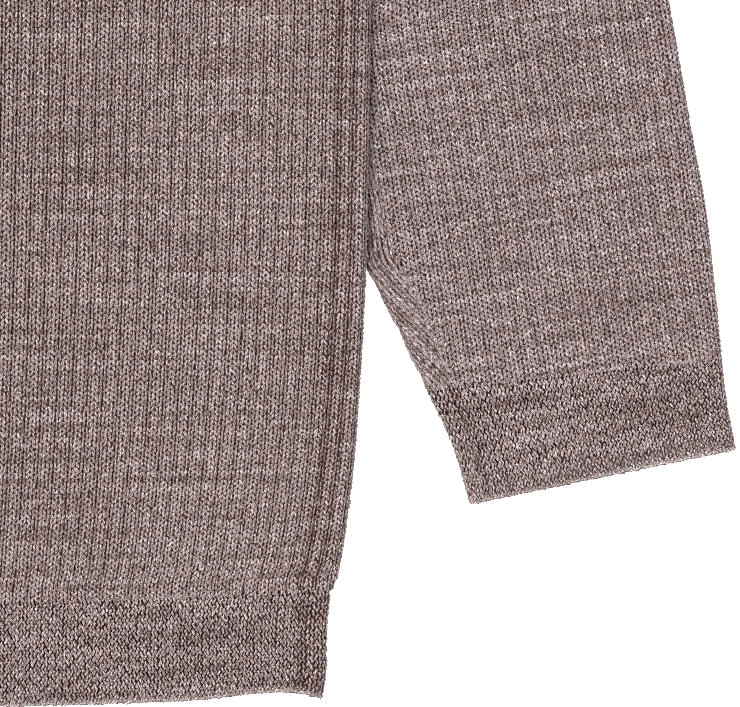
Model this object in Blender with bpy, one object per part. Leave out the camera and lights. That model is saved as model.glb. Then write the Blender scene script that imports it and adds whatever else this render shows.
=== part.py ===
"""A toddler's ribbed knit pullover, laid flat on its back with both sleeves down beside it.

Sizes and tables are in millimetres, on a layout whose origin is the middle of the hem's lower edge:
+X across the chest, +Y towards the neck, +Z up from the surface that the garment lies on. The meshes
are in metres. At the end everything moves so that the origin is under the middle of the garment's box.

The body, the sleeves and the bands are flattened tubes of knitted cloth. A piece is one wall that
follows such a tube for a part of its way round: across the upper layer, round a fold, under the lower
layer. The upper layer carries the ribs on its outer face. The inside is plain, and so is the
underside, which lies flat.
"""

import math
from collections import namedtuple

import bmesh
import bpy
import numpy as np

MM = 0.001

# Cloth
MEAN_WALL = 1.5
RIB_RISE = 0.3  # a rib's crest above the mean outer face, and its groove below it
LAYER_GAP = 0.6  # between the two layers of a flattened tube
SEAM_GAP = 0.3  # between pieces that are sewn together
BODY_RIB = 3.9
BAND_RIB = 1.86
FOLD_RADIUS = MEAN_WALL + LAYER_GAP / 2
INNER_RADIUS = LAYER_GAP / 2

# Body
SHOULDER_HEIGHT = 332.0  # from the hem to the high point of the shoulder
SHOULDER_TIP_HEIGHT = 316.0
NECK_HALF_WIDTH = 58.0
FRONT_NECK_DROP = 45.0
BACK_NECK_DROP = 15.0
NECK_ROUNDNESS = 2.2
BODY_SEAM_INSET = 7.6  # from the side fold to the side seam, on the upper layer
WRAP_GROOVE = 0.5 * BODY_SEAM_INSET  # from the side fold to the groove between the two ribs beside it
HEM_HEIGHT = 26.2
HEM_SEAM_INSET = 6.2
HEM_RISE = 4.2  # of the hem's edge, from its middle to its corner
CHEST_HALF_WIDTH = 135.0
WALE_BOW = 2.4  # how far the wales bow outward at chest height, half way to the side

# The sides of the body lie over the sleeves
OVERLAP_LIFT = 4.2
LIFT_FULL_WITHIN = 18.0  # of the side fold
LIFT_GONE_BEYOND = 45.0

# Sleeves, cuffs and neckband
SLEEVE_RIBS = 18
NECKBAND_HEIGHT = 18.0
NECKBAND_LEAN = 9.0  # how much narrower the band's free edge is, on each side
NECKBAND_SIDE_RISE = 12.0

BodyRow = namedtuple("BodyRow", "height half_width lift")
BODY_ROWS = (  # up the side fold, from the hem band to the underarm
    BodyRow(30.7, 125.9, 0.0),
    BodyRow(37.0, 127.3, 0.0),
    BodyRow(57.0, 130.1, 0.0),
    BodyRow(84.5, 132.3, 0.0),
    BodyRow(108.0, 133.5, 1.0),
    BodyRow(187.0, CHEST_HALF_WIDTH, 1.0),
    BodyRow(209.5, CHEST_HALF_WIDTH, 0.0),
)

EdgePoint = namedtuple("EdgePoint", "half_width height")
ARMHOLE = (  # from the underarm up to the shoulder tip
    EdgePoint(CHEST_HALF_WIDTH, 209.5),
    EdgePoint(CHEST_HALF_WIDTH - WRAP_GROOVE, 212.5),
    EdgePoint(126.65, 221.5),
    EdgePoint(125.2, 265.0),
    EdgePoint(127.0, SHOULDER_TIP_HEIGHT),
)
SEAM_TOP = ARMHOLE[2]  # where the side seam meets the armhole, on the upper layer
ARMHOLE_MIDDLE = ARMHOLE[3]

HemRow = namedtuple("HemRow", "height half_width")
HEM_ROWS = (HemRow(0.0, 122.8), HemRow(4.0, 123.8), HemRow(HEM_HEIGHT, 124.9))

TubeRow = namedtuple("TubeRow", "inner_x inner_y outer_x outer_y seam_inset cap")
SLEEVE_ROWS = (  # from the inner fold to the outer one; cap is how far the row follows the armhole
    TubeRow(135.6, 210.0, 127.3, 316.2, 13.5, 1.0),
    TubeRow(136.6, 206.8, 142.0, 311.5, 12.5, 0.25),
    TubeRow(136.9, 201.5, 158.5, 301.0, 11.5, 0.1),
    TubeRow(136.7, 196.0, 175.5, 283.5, 10.5, 0.0),
    TubeRow(136.0, 189.0, 190.5, 258.0, 9.5, 0.0),
    TubeRow(132.0, 177.0, 201.5, 226.0, 8.6, 0.0),
    TubeRow(124.5, 164.5, 208.0, 187.0, 8.0, 0.0),
    TubeRow(119.8, 147.0, 212.5, 161.5, 7.6, 0.0),
    TubeRow(124.8, 128.3, 215.6, 143.3, 7.6, 0.0),
    TubeRow(133.9, 110.2, 218.8, 126.0, 7.6, 0.0),
    TubeRow(142.0, 94.5, 221.0, 108.0, 7.2, 0.0),
    TubeRow(148.9, 79.9, 222.8, 87.8, 6.8, 0.0),
)
CUFF_ROWS = (
    TubeRow(149.0, 79.6, 222.9, 87.5, 6.8, 0.0),
    TubeRow(154.8, 67.3, 223.9, 78.0, 5.2, 0.0),
    TubeRow(160.0, 51.0, 226.4, 64.7, 4.6, 0.0),
)

# Half of the lower layer of the body, where its columns stand
UNDER_INSETS = (FOLD_RADIUS, WRAP_GROOVE, 8.35, 13.0, 18.0, 23.4, 28.8, 34.2, 39.6, LIFT_GONE_BEYOND)
UNDER_NECK = (NECK_HALF_WIDTH, 50.0, 40.0, 27.0, 12.0, 0.0)
BODY_EDGE_COLUMN = 2  # the place in UNDER_INSETS of the column that runs on up the armhole
HEM_UNDER_COUNT = 7
SLEEVE_UNDER_COUNT = 6
CUFF_UNDER_COUNT = 4
NECK_SAMPLES = 400  # along the neck's curve, to measure it

# Angles round a flattened tube, in degrees
TOP = 90
BOTTOM = 270
FOLD_STEP = 30
SHARP_EDGE = 50

# A column of the wall: the place of its centre across the tube, the angle at which it looks out of the
# tube, the relief of its outer point, and whether the plain inner face has a point there too
Column = namedtuple("Column", "centre angle relief has_inner")

COLOURS = {  # display colours of the heathered yarn, from 0 to 255
    "body": (140, 123, 120),
    "sleeve": (143, 127, 125),
    "hem": (133, 118, 115),
    "cuff": (135, 120, 118),
}
DISPLAY_GAMMA = 2.2


# ---------------------------------------------------------------- the wall


def wall(name, outer, inner, columns, spans):
    """One closed body between rows of outer and inner points. spans says how many rows high each
    stretch between two columns with inner points is."""
    mesh = bmesh.new()
    made = {}

    def corner(points, face, row, column):
        key = (face, row, column)
        if key not in made:
            made[key] = mesh.verts.new(points[row, column] * MM)
        return made[key]

    def out(row, column):
        return corner(outer, "outer", row, column)

    def into(row, column):
        return corner(inner, "inner", row, column)

    kept = [i for i, column in enumerate(columns) if column.has_inner]
    for left, right, top in zip(kept[:-1], kept[1:], spans):
        for row in range(top):
            mesh.faces.new((into(row, right), into(row, left), into(row + 1, left), into(row + 1, right)))
            for i in range(left, right):
                mesh.faces.new((out(row, i), out(row, i + 1), out(row + 1, i + 1), out(row + 1, i)))
        for row in (0, top):
            rim = [out(row, i) for i in range(left, right + 1)]
            mesh.faces.new(rim + [into(row, right), into(row, left)])
    for i, before, after in zip(kept, [0] + spans, spans + [0]):
        for row in range(min(before, after), max(before, after)):
            mesh.faces.new((out(row, i), out(row + 1, i), into(row + 1, i), into(row, i)))

    bmesh.ops.recalc_face_normals(mesh, faces=mesh.faces)
    data = bpy.data.meshes.new(name)
    mesh.to_mesh(data)
    mesh.free()
    data.shade_smooth()
    data.set_sharp_from_angle(angle=math.radians(SHARP_EDGE))
    piece = bpy.data.objects.new(name, data)
    bpy.context.collection.objects.link(piece)
    return piece


def cloth_material(slot):
    material = bpy.data.materials.new(slot + "_knit")
    material.use_nodes = True
    shader = material.node_tree.nodes["Principled BSDF"]
    linear = [(value / 255) ** DISPLAY_GAMMA for value in COLOURS[slot]]
    shader.inputs["Base Color"].default_value = (*linear, 1.0)
    shader.inputs["Roughness"].default_value = 0.95
    shader.inputs["Metallic"].default_value = 0.0
    return material


# ---------------------------------------------------------------- columns round a flattened tube


def ribs(start, end, count):
    """The upper layer from a groove at start to a groove at end, with a crest between each two grooves."""
    return rib_columns(np.linspace(start, end, 2 * count + 1))


def rib_columns(places):
    return [
        Column(place, TOP, RIB_RISE if i % 2 else -RIB_RISE, i % 2 == 0)
        for i, place in enumerate(places)
    ]


def fold():
    """Round the fold at the left, from the crest at the edge of the upper layer to the lower layer."""
    columns = [Column(FOLD_RADIUS, TOP, RIB_RISE, True)]
    for angle in range(TOP + FOLD_STEP, BOTTOM, FOLD_STEP):
        relief = RIB_RISE * max(0.0, math.sin(math.radians(angle)))
        columns.append(Column(FOLD_RADIUS, angle, relief, True))
    return columns


def wrap(seam_inset):
    """From the seam on the upper layer, over two ribs and round the fold at the left."""
    return ribs(seam_inset, seam_inset / 2, 1) + fold()


def under(places):
    return [Column(place, BOTTOM, 0.0, True) for place in places]


def mirrored(columns, width):
    """The same columns from the other side of a tube of that width."""
    return [Column(width - c.centre, 180 - c.angle, c.relief, c.has_inner) for c in reversed(columns)]


def across(column, radius):
    """How far across the tube and how high a column's point lies, at that distance from the tube's middle."""
    angle = math.radians(column.angle)
    return column.centre + radius * math.cos(angle), FOLD_RADIUS + radius * math.sin(angle)


def grid(rows_of_columns, place):
    """Outer and inner points. place(row, column, across) gives x, y and the lift at a point of the tube."""
    outer, inner = [], []
    for row, columns in enumerate(rows_of_columns):
        for points, is_outer in ((outer, True), (inner, False)):
            line = []
            for column in columns:
                radius = FOLD_RADIUS + column.relief if is_outer else INNER_RADIUS
                offset, height = across(column, radius)
                x, y, lift = place(row, column, offset)
                line.append((x, y, height + lift))
            points.append(line)
    return np.array(outer), np.array(inner)


# ---------------------------------------------------------------- outlines


def hem_line(x):
    """The hem's lower edge, a shallow curve that is lowest at the middle."""
    return HEM_RISE * (x / CHEST_HALF_WIDTH) ** 2


def neck_curve(x, half_width, side_height, drop):
    share = min(1.0, abs(x) / half_width)
    return side_height - drop * math.cos(math.pi / 2 * share**NECK_ROUNDNESS)


def top_line(x, neck_drop):
    """The shoulder line outside the neck, and the neck's edge inside it."""
    if abs(x) < NECK_HALF_WIDTH:
        return neck_curve(x, NECK_HALF_WIDTH, SHOULDER_HEIGHT, neck_drop)
    slope = (SHOULDER_HEIGHT - SHOULDER_TIP_HEIGHT) / (ARMHOLE[-1].half_width - NECK_HALF_WIDTH)
    return SHOULDER_HEIGHT - slope * (abs(x) - NECK_HALF_WIDTH)


def armhole_height(x):
    """How high the armhole's edge is at that distance from the middle, below the side seam's top."""
    lower = sorted(ARMHOLE[:3])
    return float(np.interp(abs(x), [p.half_width for p in lower], [p.height for p in lower]))


def armhole_half_width(height):
    return float(np.interp(height, [p.height for p in ARMHOLE], [p.half_width for p in ARMHOLE]))


def smooth_step(value):
    value = min(1.0, max(0.0, value))
    return value * value * (3 - 2 * value)


def side_lift(row, x):
    """How far a body row is lifted at x by the sleeve that lies under its side."""
    if row >= len(BODY_ROWS):
        return 0.0
    inset = BODY_ROWS[row].half_width - abs(x)
    share = smooth_step((LIFT_GONE_BEYOND - inset) / (LIFT_GONE_BEYOND - LIFT_FULL_WITHIN))
    return OVERLAP_LIFT * BODY_ROWS[row].lift * share


# ---------------------------------------------------------------- body

UNDERARM_ROW = len(BODY_ROWS) - 1
MIDDLE_ROW = UNDERARM_ROW + 1
TOP_ROW = UNDERARM_ROW + 2


def body_height(row, x, neck_drop):
    if row == 0:
        return hem_line(x) + HEM_HEIGHT + SEAM_GAP
    if row < UNDERARM_ROW:
        return BODY_ROWS[row].height
    if row == UNDERARM_ROW:
        return min(SEAM_TOP.height, armhole_height(x))
    if row == MIDDLE_ROW:
        return ARMHOLE_MIDDLE.height
    return top_line(x, neck_drop)


def upper_x(row, share, neck_drop):
    """x above the side seam's top, where the armhole's edge is at share 1."""
    if row == MIDDLE_ROW:
        return share * ARMHOLE_MIDDLE.half_width
    height = top_line(share * ARMHOLE[-1].half_width, neck_drop)
    return share * armhole_half_width(height)


def body_back():
    def half_columns(half_width):
        centres = [half_width - x * half_width / CHEST_HALF_WIDTH for x in UNDER_NECK]
        return wrap(BODY_SEAM_INSET) + under(UNDER_INSETS + tuple(centres[:-1]))

    rows = []
    for row in range(TOP_ROW + 1):
        half_width = BODY_ROWS[min(row, UNDERARM_ROW)].half_width
        half = half_columns(half_width)
        middle = under((half_width,))
        rows.append(half + middle + mirrored(half, 2 * half_width))

    def place(row, column, offset):
        half_width = BODY_ROWS[min(row, UNDERARM_ROW)].half_width
        x = offset - half_width
        if row > UNDERARM_ROW:
            x = upper_x(row, x / SEAM_TOP.half_width, BACK_NECK_DROP)
        return x, body_height(row, x, BACK_NECK_DROP), side_lift(row, x)

    outer, inner = grid(rows, place)
    side_stretches = sum(c.has_inner for c in wrap(BODY_SEAM_INSET)) + BODY_EDGE_COLUMN
    stretches = sum(c.has_inner for c in rows[0]) - 1
    side = [UNDERARM_ROW] * side_stretches
    spans = side + [TOP_ROW] * (stretches - 2 * side_stretches) + side
    return wall("body_back", outer, inner, rows[0], spans)


def body_front():
    rib_count = round(2 * (CHEST_HALF_WIDTH - BODY_SEAM_INSET) / BODY_RIB)
    columns = ribs(-1.0, 1.0, rib_count)

    def place(row, column, share):
        x = front_x(row, share)
        lift = side_lift(row, x)
        if row == TOP_ROW and abs(x) > NECK_HALF_WIDTH:
            lift -= LAYER_GAP - SEAM_GAP  # the shoulder seam closes the gap between the layers
        return x, body_height(row, x, FRONT_NECK_DROP), lift

    outer, inner = grid([columns] * (TOP_ROW + 1), place)
    return wall("body_front", outer, inner, columns, [TOP_ROW] * rib_count)


def front_x(row, share):
    """x of a wale of the front. Half way between the middle and the seam, wales bow outward."""
    bow = WALE_BOW * math.sin(math.pi * share)
    if row > UNDERARM_ROW:
        return upper_x(row, share, FRONT_NECK_DROP) + bow
    if row == UNDERARM_ROW:
        return share * SEAM_TOP.half_width + bow
    half_width = BODY_ROWS[row].half_width - BODY_SEAM_INSET - SEAM_GAP
    climb = BODY_ROWS[row].height / BODY_ROWS[UNDERARM_ROW].height
    return share * half_width + bow * climb


# ---------------------------------------------------------------- hem band


def hem_place(half_width_of_row, height_of_row):
    def place(row, column, offset):
        x = offset - half_width_of_row[row]
        return x, hem_line(x) + height_of_row[row], 0.0

    return place


def hem_back():
    rows = []
    for row in HEM_ROWS:
        half = wrap(HEM_SEAM_INSET) + under(np.linspace(FOLD_RADIUS, row.half_width, HEM_UNDER_COUNT)[:-1])
        rows.append(half + under((row.half_width,)) + mirrored(half, 2 * row.half_width))
    place = hem_place([row.half_width for row in HEM_ROWS], [row.height for row in HEM_ROWS])
    outer, inner = grid(rows, place)
    stretches = sum(c.has_inner for c in rows[0]) - 1
    return wall("hem_back", outer, inner, rows[0], [len(HEM_ROWS) - 1] * stretches)


def hem_front():
    width = 2 * (HEM_ROWS[-1].half_width - HEM_SEAM_INSET)
    rib_count = round(width / BAND_RIB)
    rows = []
    for row in HEM_ROWS:
        inset = HEM_SEAM_INSET + SEAM_GAP
        rows.append(ribs(inset, 2 * row.half_width - inset, rib_count))
    place = hem_place([row.half_width for row in HEM_ROWS], [row.height for row in HEM_ROWS])
    outer, inner = grid(rows, place)
    return wall("hem_front", outer, inner, rows[0], [len(HEM_ROWS) - 1] * rib_count)


# ---------------------------------------------------------------- sleeves and cuffs


def armhole_point(share):
    """A point along the armhole from the underarm to the shoulder tip, a seam's gap outside it."""
    points = np.array([(p.half_width, p.height) for p in ARMHOLE])
    steps = np.diff(points, axis=0)
    lengths = np.hypot(steps[:, 0], steps[:, 1])
    reached = np.concatenate([[0.0], np.cumsum(lengths)])
    along = share * reached[-1]
    i = min(int(np.searchsorted(reached, along, side="right")) - 1, len(steps) - 1)
    direction = steps[i] / lengths[i]
    outward = np.array([direction[1], -direction[0]])
    return points[i] + direction * (along - reached[i]) + outward * SEAM_GAP


def tube_width(row):
    return math.hypot(row.outer_x - row.inner_x, row.outer_y - row.inner_y)


def tube_piece(name, table, side, rib_count, under_count):
    """A flattened tube that is closed by one seam on its upper layer, beside its inner fold."""
    rows = []
    for row in table:
        width = tube_width(row)
        lower = under(np.linspace(FOLD_RADIUS, width - FOLD_RADIUS, under_count))
        upper = np.linspace(width - FOLD_RADIUS, row.seam_inset + SEAM_GAP, 2 * rib_count + 2)
        rows.append(wrap(row.seam_inset) + lower + mirrored(fold(), width) + rib_columns(upper[1:]))

    def place(row, column, offset):
        line = table[row]
        share = offset / tube_width(line)
        start = np.array([line.inner_x, line.inner_y])
        end = np.array([line.outer_x, line.outer_y])
        point = start + (end - start) * share
        if line.cap:
            on_chord = armhole_point(0.0) + (armhole_point(1.0) - armhole_point(0.0)) * share
            point = point + line.cap * (armhole_point(min(1.0, max(0.0, share))) - on_chord)
        return side * point[0], point[1], 0.0

    outer, inner = grid(rows, place)
    stretches = sum(c.has_inner for c in rows[0]) - 1
    return wall(name, outer, inner, rows[0], [len(table) - 1] * stretches)


def sleeve(name, side):
    return tube_piece(name, SLEEVE_ROWS, side, SLEEVE_RIBS, SLEEVE_UNDER_COUNT)


def cuff(name, side):
    width = tube_width(CUFF_ROWS[0]) - CUFF_ROWS[0].seam_inset
    return tube_piece(name, CUFF_ROWS, side, round(width / BAND_RIB), CUFF_UNDER_COUNT)


# ---------------------------------------------------------------- neckband

NeckRow = namedtuple("NeckRow", "half_width side_height front_drop back_drop")


def neckband_rows():
    rows = []
    for share in (0.0, 1.0):
        half_width = NECK_HALF_WIDTH - SEAM_GAP - share * NECKBAND_LEAN
        side_height = SHOULDER_HEIGHT + SEAM_GAP + share * NECKBAND_SIDE_RISE
        less = share * (NECKBAND_HEIGHT - NECKBAND_SIDE_RISE)
        rows.append(NeckRow(half_width, side_height, FRONT_NECK_DROP - less, BACK_NECK_DROP - less))
    return rows


def spaced_along_neck(row, count):
    """Places across the neckband, evenly spaced along its front curve, and that curve's length."""
    places = np.linspace(2 * row.half_width - FOLD_RADIUS, FOLD_RADIUS + SEAM_GAP, NECK_SAMPLES)
    heights = [
        neck_curve(place - row.half_width, row.half_width, row.side_height, row.front_drop)
        for place in places
    ]
    reached = np.concatenate([[0.0], np.cumsum(np.hypot(np.diff(places), np.diff(heights)))])
    return np.interp(np.linspace(0.0, reached[-1], count), reached, places), reached[-1]


def neckband():
    """One flattened ring that is joined at the left shoulder."""
    table = neckband_rows()
    rib_count = round(spaced_along_neck(table[0], 2)[1] / BAND_RIB)
    rows = []
    for row in table:
        width = 2 * row.half_width
        half = [FOLD_RADIUS] + [row.half_width * (1 - x / NECK_HALF_WIDTH) for x in UNDER_NECK[1:-1]]
        lower = under(half) + under([row.half_width]) + mirrored(under(half), width)
        upper, _ = spaced_along_neck(row, 2 * rib_count + 2)
        rows.append(fold() + lower + mirrored(fold(), width) + rib_columns(upper[1:]))

    def place(row, column, offset):
        line = table[row]
        is_front = math.sin(math.radians(column.angle)) > 0
        drop = line.front_drop if is_front else line.back_drop
        x = offset - line.half_width
        return x, neck_curve(x, line.half_width, line.side_height, drop), 0.0

    outer, inner = grid(rows, place)
    stretches = sum(c.has_inner for c in rows[0]) - 1
    return wall("neckband", outer, inner, rows[0], [1] * stretches)


# ---------------------------------------------------------------- the garment


def stand_at_origin(pieces):
    """Moves the meshes so that the origin is under the middle of the garment's box."""
    points = np.array([v.co for piece in pieces for v in piece.data.vertices])
    low, high = points.min(axis=0), points.max(axis=0)
    middle = (low + high) / 2
    for piece in pieces:
        for vertex in piece.data.vertices:
            vertex.co.x -= middle[0]
            vertex.co.y -= middle[1]
            vertex.co.z -= low[2]


def main():
    for old in list(bpy.data.objects):
        bpy.data.objects.remove(old, do_unlink=True)
    made = {
        "body": [body_back(), body_front()],
        "sleeve": [sleeve("sleeve_right", 1), sleeve("sleeve_left", -1)],
        "hem": [hem_back(), hem_front(), neckband()],
        "cuff": [cuff("cuff_right", 1), cuff("cuff_left", -1)],
    }
    for slot, pieces in made.items():
        material = cloth_material(slot)
        for piece in pieces:
            piece.data.materials.append(material)
    stand_at_origin([piece for pieces in made.values() for piece in pieces])


main()
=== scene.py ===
"""The looks of the ribbed knit top: a shell of cloth for each knitted piece, and the yarn that lies on it.

Sizes are in millimetres, on a layout whose origin is the middle of the hem's lower edge: +X across the
chest, +Y towards the neck, +Z up from the surface that the garment lies on. Everything is worked out for
the right half, and the left half is its mirror with stitches of its own.

Knit is counted in wales and courses. A stitch is a V of two legs between two wale lines, so wale 3.5 is
the middle of the fourth stitch from the middle of the body, and course 3.5 is half way up its fourth row.
"""

import math
from collections import namedtuple

import bmesh
import bpy
import numpy as np
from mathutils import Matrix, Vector


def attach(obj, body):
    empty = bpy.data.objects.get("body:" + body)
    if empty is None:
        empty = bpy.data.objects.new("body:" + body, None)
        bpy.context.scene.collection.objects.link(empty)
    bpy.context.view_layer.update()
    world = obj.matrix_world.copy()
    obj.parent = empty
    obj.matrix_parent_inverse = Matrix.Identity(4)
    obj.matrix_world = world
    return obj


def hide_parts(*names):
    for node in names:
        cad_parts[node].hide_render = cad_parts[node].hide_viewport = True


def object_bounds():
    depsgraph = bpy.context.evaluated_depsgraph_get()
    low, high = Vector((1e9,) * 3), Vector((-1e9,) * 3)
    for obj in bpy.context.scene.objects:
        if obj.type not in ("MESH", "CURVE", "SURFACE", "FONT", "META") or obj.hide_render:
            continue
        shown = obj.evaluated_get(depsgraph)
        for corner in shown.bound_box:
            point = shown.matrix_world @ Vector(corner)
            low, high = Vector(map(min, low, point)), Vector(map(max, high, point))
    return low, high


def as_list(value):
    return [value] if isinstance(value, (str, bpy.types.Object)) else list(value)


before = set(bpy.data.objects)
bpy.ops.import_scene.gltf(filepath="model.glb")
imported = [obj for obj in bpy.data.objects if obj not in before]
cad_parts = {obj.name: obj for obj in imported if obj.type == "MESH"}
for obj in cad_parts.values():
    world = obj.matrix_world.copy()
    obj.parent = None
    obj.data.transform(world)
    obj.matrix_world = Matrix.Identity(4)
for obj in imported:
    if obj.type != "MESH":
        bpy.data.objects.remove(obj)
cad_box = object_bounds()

MM = 0.001
HEM_IN_FRAME = cad_box[0][1]  # the layout's origin, in the frame's metres
SEED = 7
SIDES = ((1, "right"), (-1, "left"))

# Cloth, as the solids have it
MEAN_WALL = 1.5
LAYER_GAP = 0.6
SEAM_GAP = 0.3
SHELL_GAP = 0.05  # the scene closes the joints of the bands
FOLD_RADIUS = MEAN_WALL + LAYER_GAP / 2
INNER_RADIUS = LAYER_GAP / 2
UPPER_FACE = 2 * FOLD_RADIUS
YARN_SINK = 0.35  # how far the shell lies below the mean face that the yarn makes
INSIDE_FACE = MEAN_WALL + YARN_SINK  # the lower layer's face that looks up through the neck

# Body
SHOULDER_HEIGHT = 332.0
SHOULDER_TIP_HEIGHT = 316.0
SHOULDER_TIP_HALF_WIDTH = 127.0
NECK_HALF_WIDTH = 58.0
FRONT_NECK_DROP = 45.0
BACK_NECK_DROP = 15.0
NECK_ROUNDNESS = 2.2
CHEST_HALF_WIDTH = 135.0
UNDERARM_HEIGHT = 209.5
BODY_SEAM_INSET = 7.6
HEM_HEIGHT = 26.2
HEM_SEAM_INSET = 6.2
HEM_RISE = 4.2
HEM_CURVE_FULL = 27.0  # up to this height the courses follow the hem's curve
HEM_CURVE_GONE = 95.0  # and above this one they are level
WALE_BOW = 2.4
OVERLAP_LIFT = 4.2
LIFT_FULL_WITHIN = 18.0
LIFT_GONE_BEYOND = 45.0
SHOULDER_CLOSING = 10.0  # how far below the shoulder seam the layers begin to close
NECK_FADE = 12.0  # creases fade within this distance of the neck and the shoulders
HEM_FADE = 8.0

# Neckband
NECKBAND_HEIGHT = 18.0
NECKBAND_LEAN = 9.0
NECKBAND_SIDE_RISE = 12.0

# Gauge: millimetres a wale and a course
BODY_WALES = 65  # from the middle of the front to the side seam
WRAP_WALES = 6  # from the side seam round the fold to the underside
WRAP_WALE = BODY_SEAM_INSET / 4
BODY_COURSE = 1.3
SLEEVE_WALE = 2.15
SLEEVE_COURSE = 1.26
SLEEVE_WRAP_WALES = 4
SLEEVE_WALES = (-3, 50)  # from round the outer fold to beyond the inner one
HEM_WALES = 64
HEM_WRAP_WALES = 5
HEM_WRAP_WALE = HEM_SEAM_INSET / 3
HEM_COURSES = 16
CUFF_WALES = 36
CUFF_WRAP_WALES = 3
CUFF_COURSES = 16
BAND_WALE = 1.86
NECKBAND_COURSES = 11
INSIDE_WALES = 30

# Where stitches end
LINK = 0.4  # how far the stitches of two pieces reach over their joint
ROUND_LIMIT = -2.9  # legs run round a fold until they face the surface that the garment lies on
ARMHOLE_MARGIN = 0.3
TOP_MARGIN = 0.4


# ---------------------------------------------------------------- curves


class Curve:
    """A smooth graph through a table's points. Outside the table it keeps its end values."""

    def __init__(self, places, values):
        self.places = np.array(places, float)
        self.values = np.array(values, float)
        steps = np.diff(self.places)
        slopes = np.diff(self.values) / steps
        between = (slopes[:-1] * steps[1:] + slopes[1:] * steps[:-1]) / (steps[:-1] + steps[1:])
        self.slopes = np.concatenate([slopes[:1], between, slopes[-1:]])

    def __call__(self, place):
        place = np.clip(place, self.places[0], self.places[-1])
        i = np.clip(np.searchsorted(self.places, place, side="right") - 1, 0, len(self.places) - 2)
        step = self.places[i + 1] - self.places[i]
        t = (place - self.places[i]) / step
        start = self.values[i] * (1 + 2 * t) * (1 - t) ** 2
        end = self.values[i + 1] * t * t * (3 - 2 * t)
        leaving = self.slopes[i] * step * t * (1 - t) ** 2
        arriving = self.slopes[i + 1] * step * t * t * (t - 1)
        return start + end + leaving + arriving


class Line:
    """A smooth line through points of the layout, as short straight steps."""

    def __init__(self, points, step=2.0):
        points = np.array(points, float)
        reached = self.lengths(points)
        places = np.linspace(0.0, reached[-1], int(reached[-1] / step) + 2)
        self.points = np.stack([Curve(reached, axis)(places) for axis in points.T], axis=1)
        self.reached = self.lengths(self.points)
        self.length = self.reached[-1]

    @staticmethod
    def lengths(points):
        return np.concatenate([[0.0], np.cumsum(np.hypot(*np.diff(points, axis=0).T))])

    def at(self, along):
        """The point at that length along the line, and the line's direction there. It runs on straight
        beyond its ends."""
        i = np.clip(np.searchsorted(self.reached, along, side="right") - 1, 0, len(self.points) - 2)
        step = self.points[i + 1] - self.points[i]
        direction = step / np.hypot(step[..., 0], step[..., 1])[..., None]
        return self.points[i] + direction * (along - self.reached[i])[..., None], direction

    def measure(self, points):
        """How far each point lies to the left of the line, and the direction from there to the line."""
        start = self.points[:-1]
        step = np.diff(self.points, axis=0)
        to_point = points[:, None] - start[None]
        share = np.clip((to_point * step).sum(axis=2) / (step**2).sum(axis=1), 0.0, 1.0)
        apart = to_point - step * share[..., None]
        nearest = np.argmin((apart**2).sum(axis=2), axis=1)
        rows = np.arange(len(points))
        direction = step[nearest] / np.hypot(*step[nearest].T)[:, None]
        left = np.stack([-direction[:, 1], direction[:, 0]], axis=1)
        return (apart[rows, nearest] * left).sum(axis=1), -left


def smooth_step(value):
    value = np.clip(value, 0.0, 1.0)
    return value * value * (3 - 2 * value)


def bell(place, middle, width):
    """1 in the middle, falling to 0 within about width."""
    return np.exp(-(((place - middle) / width) ** 2))


def columns_of(rows, *names):
    """Those columns of a table of named rows."""
    return [[getattr(row, name) for row in rows] for name in names]


# ---------------------------------------------------------------- outlines

SideRow = namedtuple("SideRow", "height half_width lift")
SIDE_ROWS = (  # up the body's side fold
    SideRow(26.5, 124.9, 0.0),
    SideRow(29.5, 125.2, 0.0),
    SideRow(33.0, 126.5, 0.0),
    SideRow(37.0, 127.3, 0.0),
    SideRow(57.0, 130.1, 0.0),
    SideRow(84.5, 132.3, 0.0),
    SideRow(108.0, 133.5, 1.0),
    SideRow(150.0, 134.4, 1.0),
    SideRow(187.0, CHEST_HALF_WIDTH, 1.0),
    SideRow(UNDERARM_HEIGHT, CHEST_HALF_WIDTH, 0.0),
)
side_half_width = Curve(*columns_of(SIDE_ROWS, "height", "half_width"))
side_lift_share = Curve(*columns_of(SIDE_ROWS, "height", "lift"))

EdgePoint = namedtuple("EdgePoint", "half_width height")
ARMHOLE = (  # from the underarm up to the shoulder tip
    EdgePoint(CHEST_HALF_WIDTH, UNDERARM_HEIGHT),
    EdgePoint(131.2, 212.5),
    EdgePoint(126.65, 221.5),
    EdgePoint(125.2, 265.0),
    EdgePoint(SHOULDER_TIP_HALF_WIDTH, SHOULDER_TIP_HEIGHT),
)
SEAM_TOP = ARMHOLE[2]
armhole_half_width = Curve(*columns_of(ARMHOLE, "height", "half_width"))
armhole_line = Line(ARMHOLE)

HemRow = namedtuple("HemRow", "height half_width")
HEM_ROWS = (  # up the hem band's side fold
    HemRow(0.0, 122.7),
    HemRow(3.0, 123.4),
    HemRow(6.5, 123.8),
    HemRow(15.5, 123.8),
    HemRow(20.5, 124.2),
    HemRow(HEM_HEIGHT, 124.9),
)
hem_half_width = Curve(*columns_of(HEM_ROWS, "height", "half_width"))

HemWave = namedtuple("HemWave", "height x width")
HEM_WAVES = (  # the free edge is drawn up beside the side seam and hangs lower at the fold
    HemWave(1.2, 110.0, 13.0),
    HemWave(-1.7, 124.0, 5.0),
)
HEM_WAVE_GONE = 14.0

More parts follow.
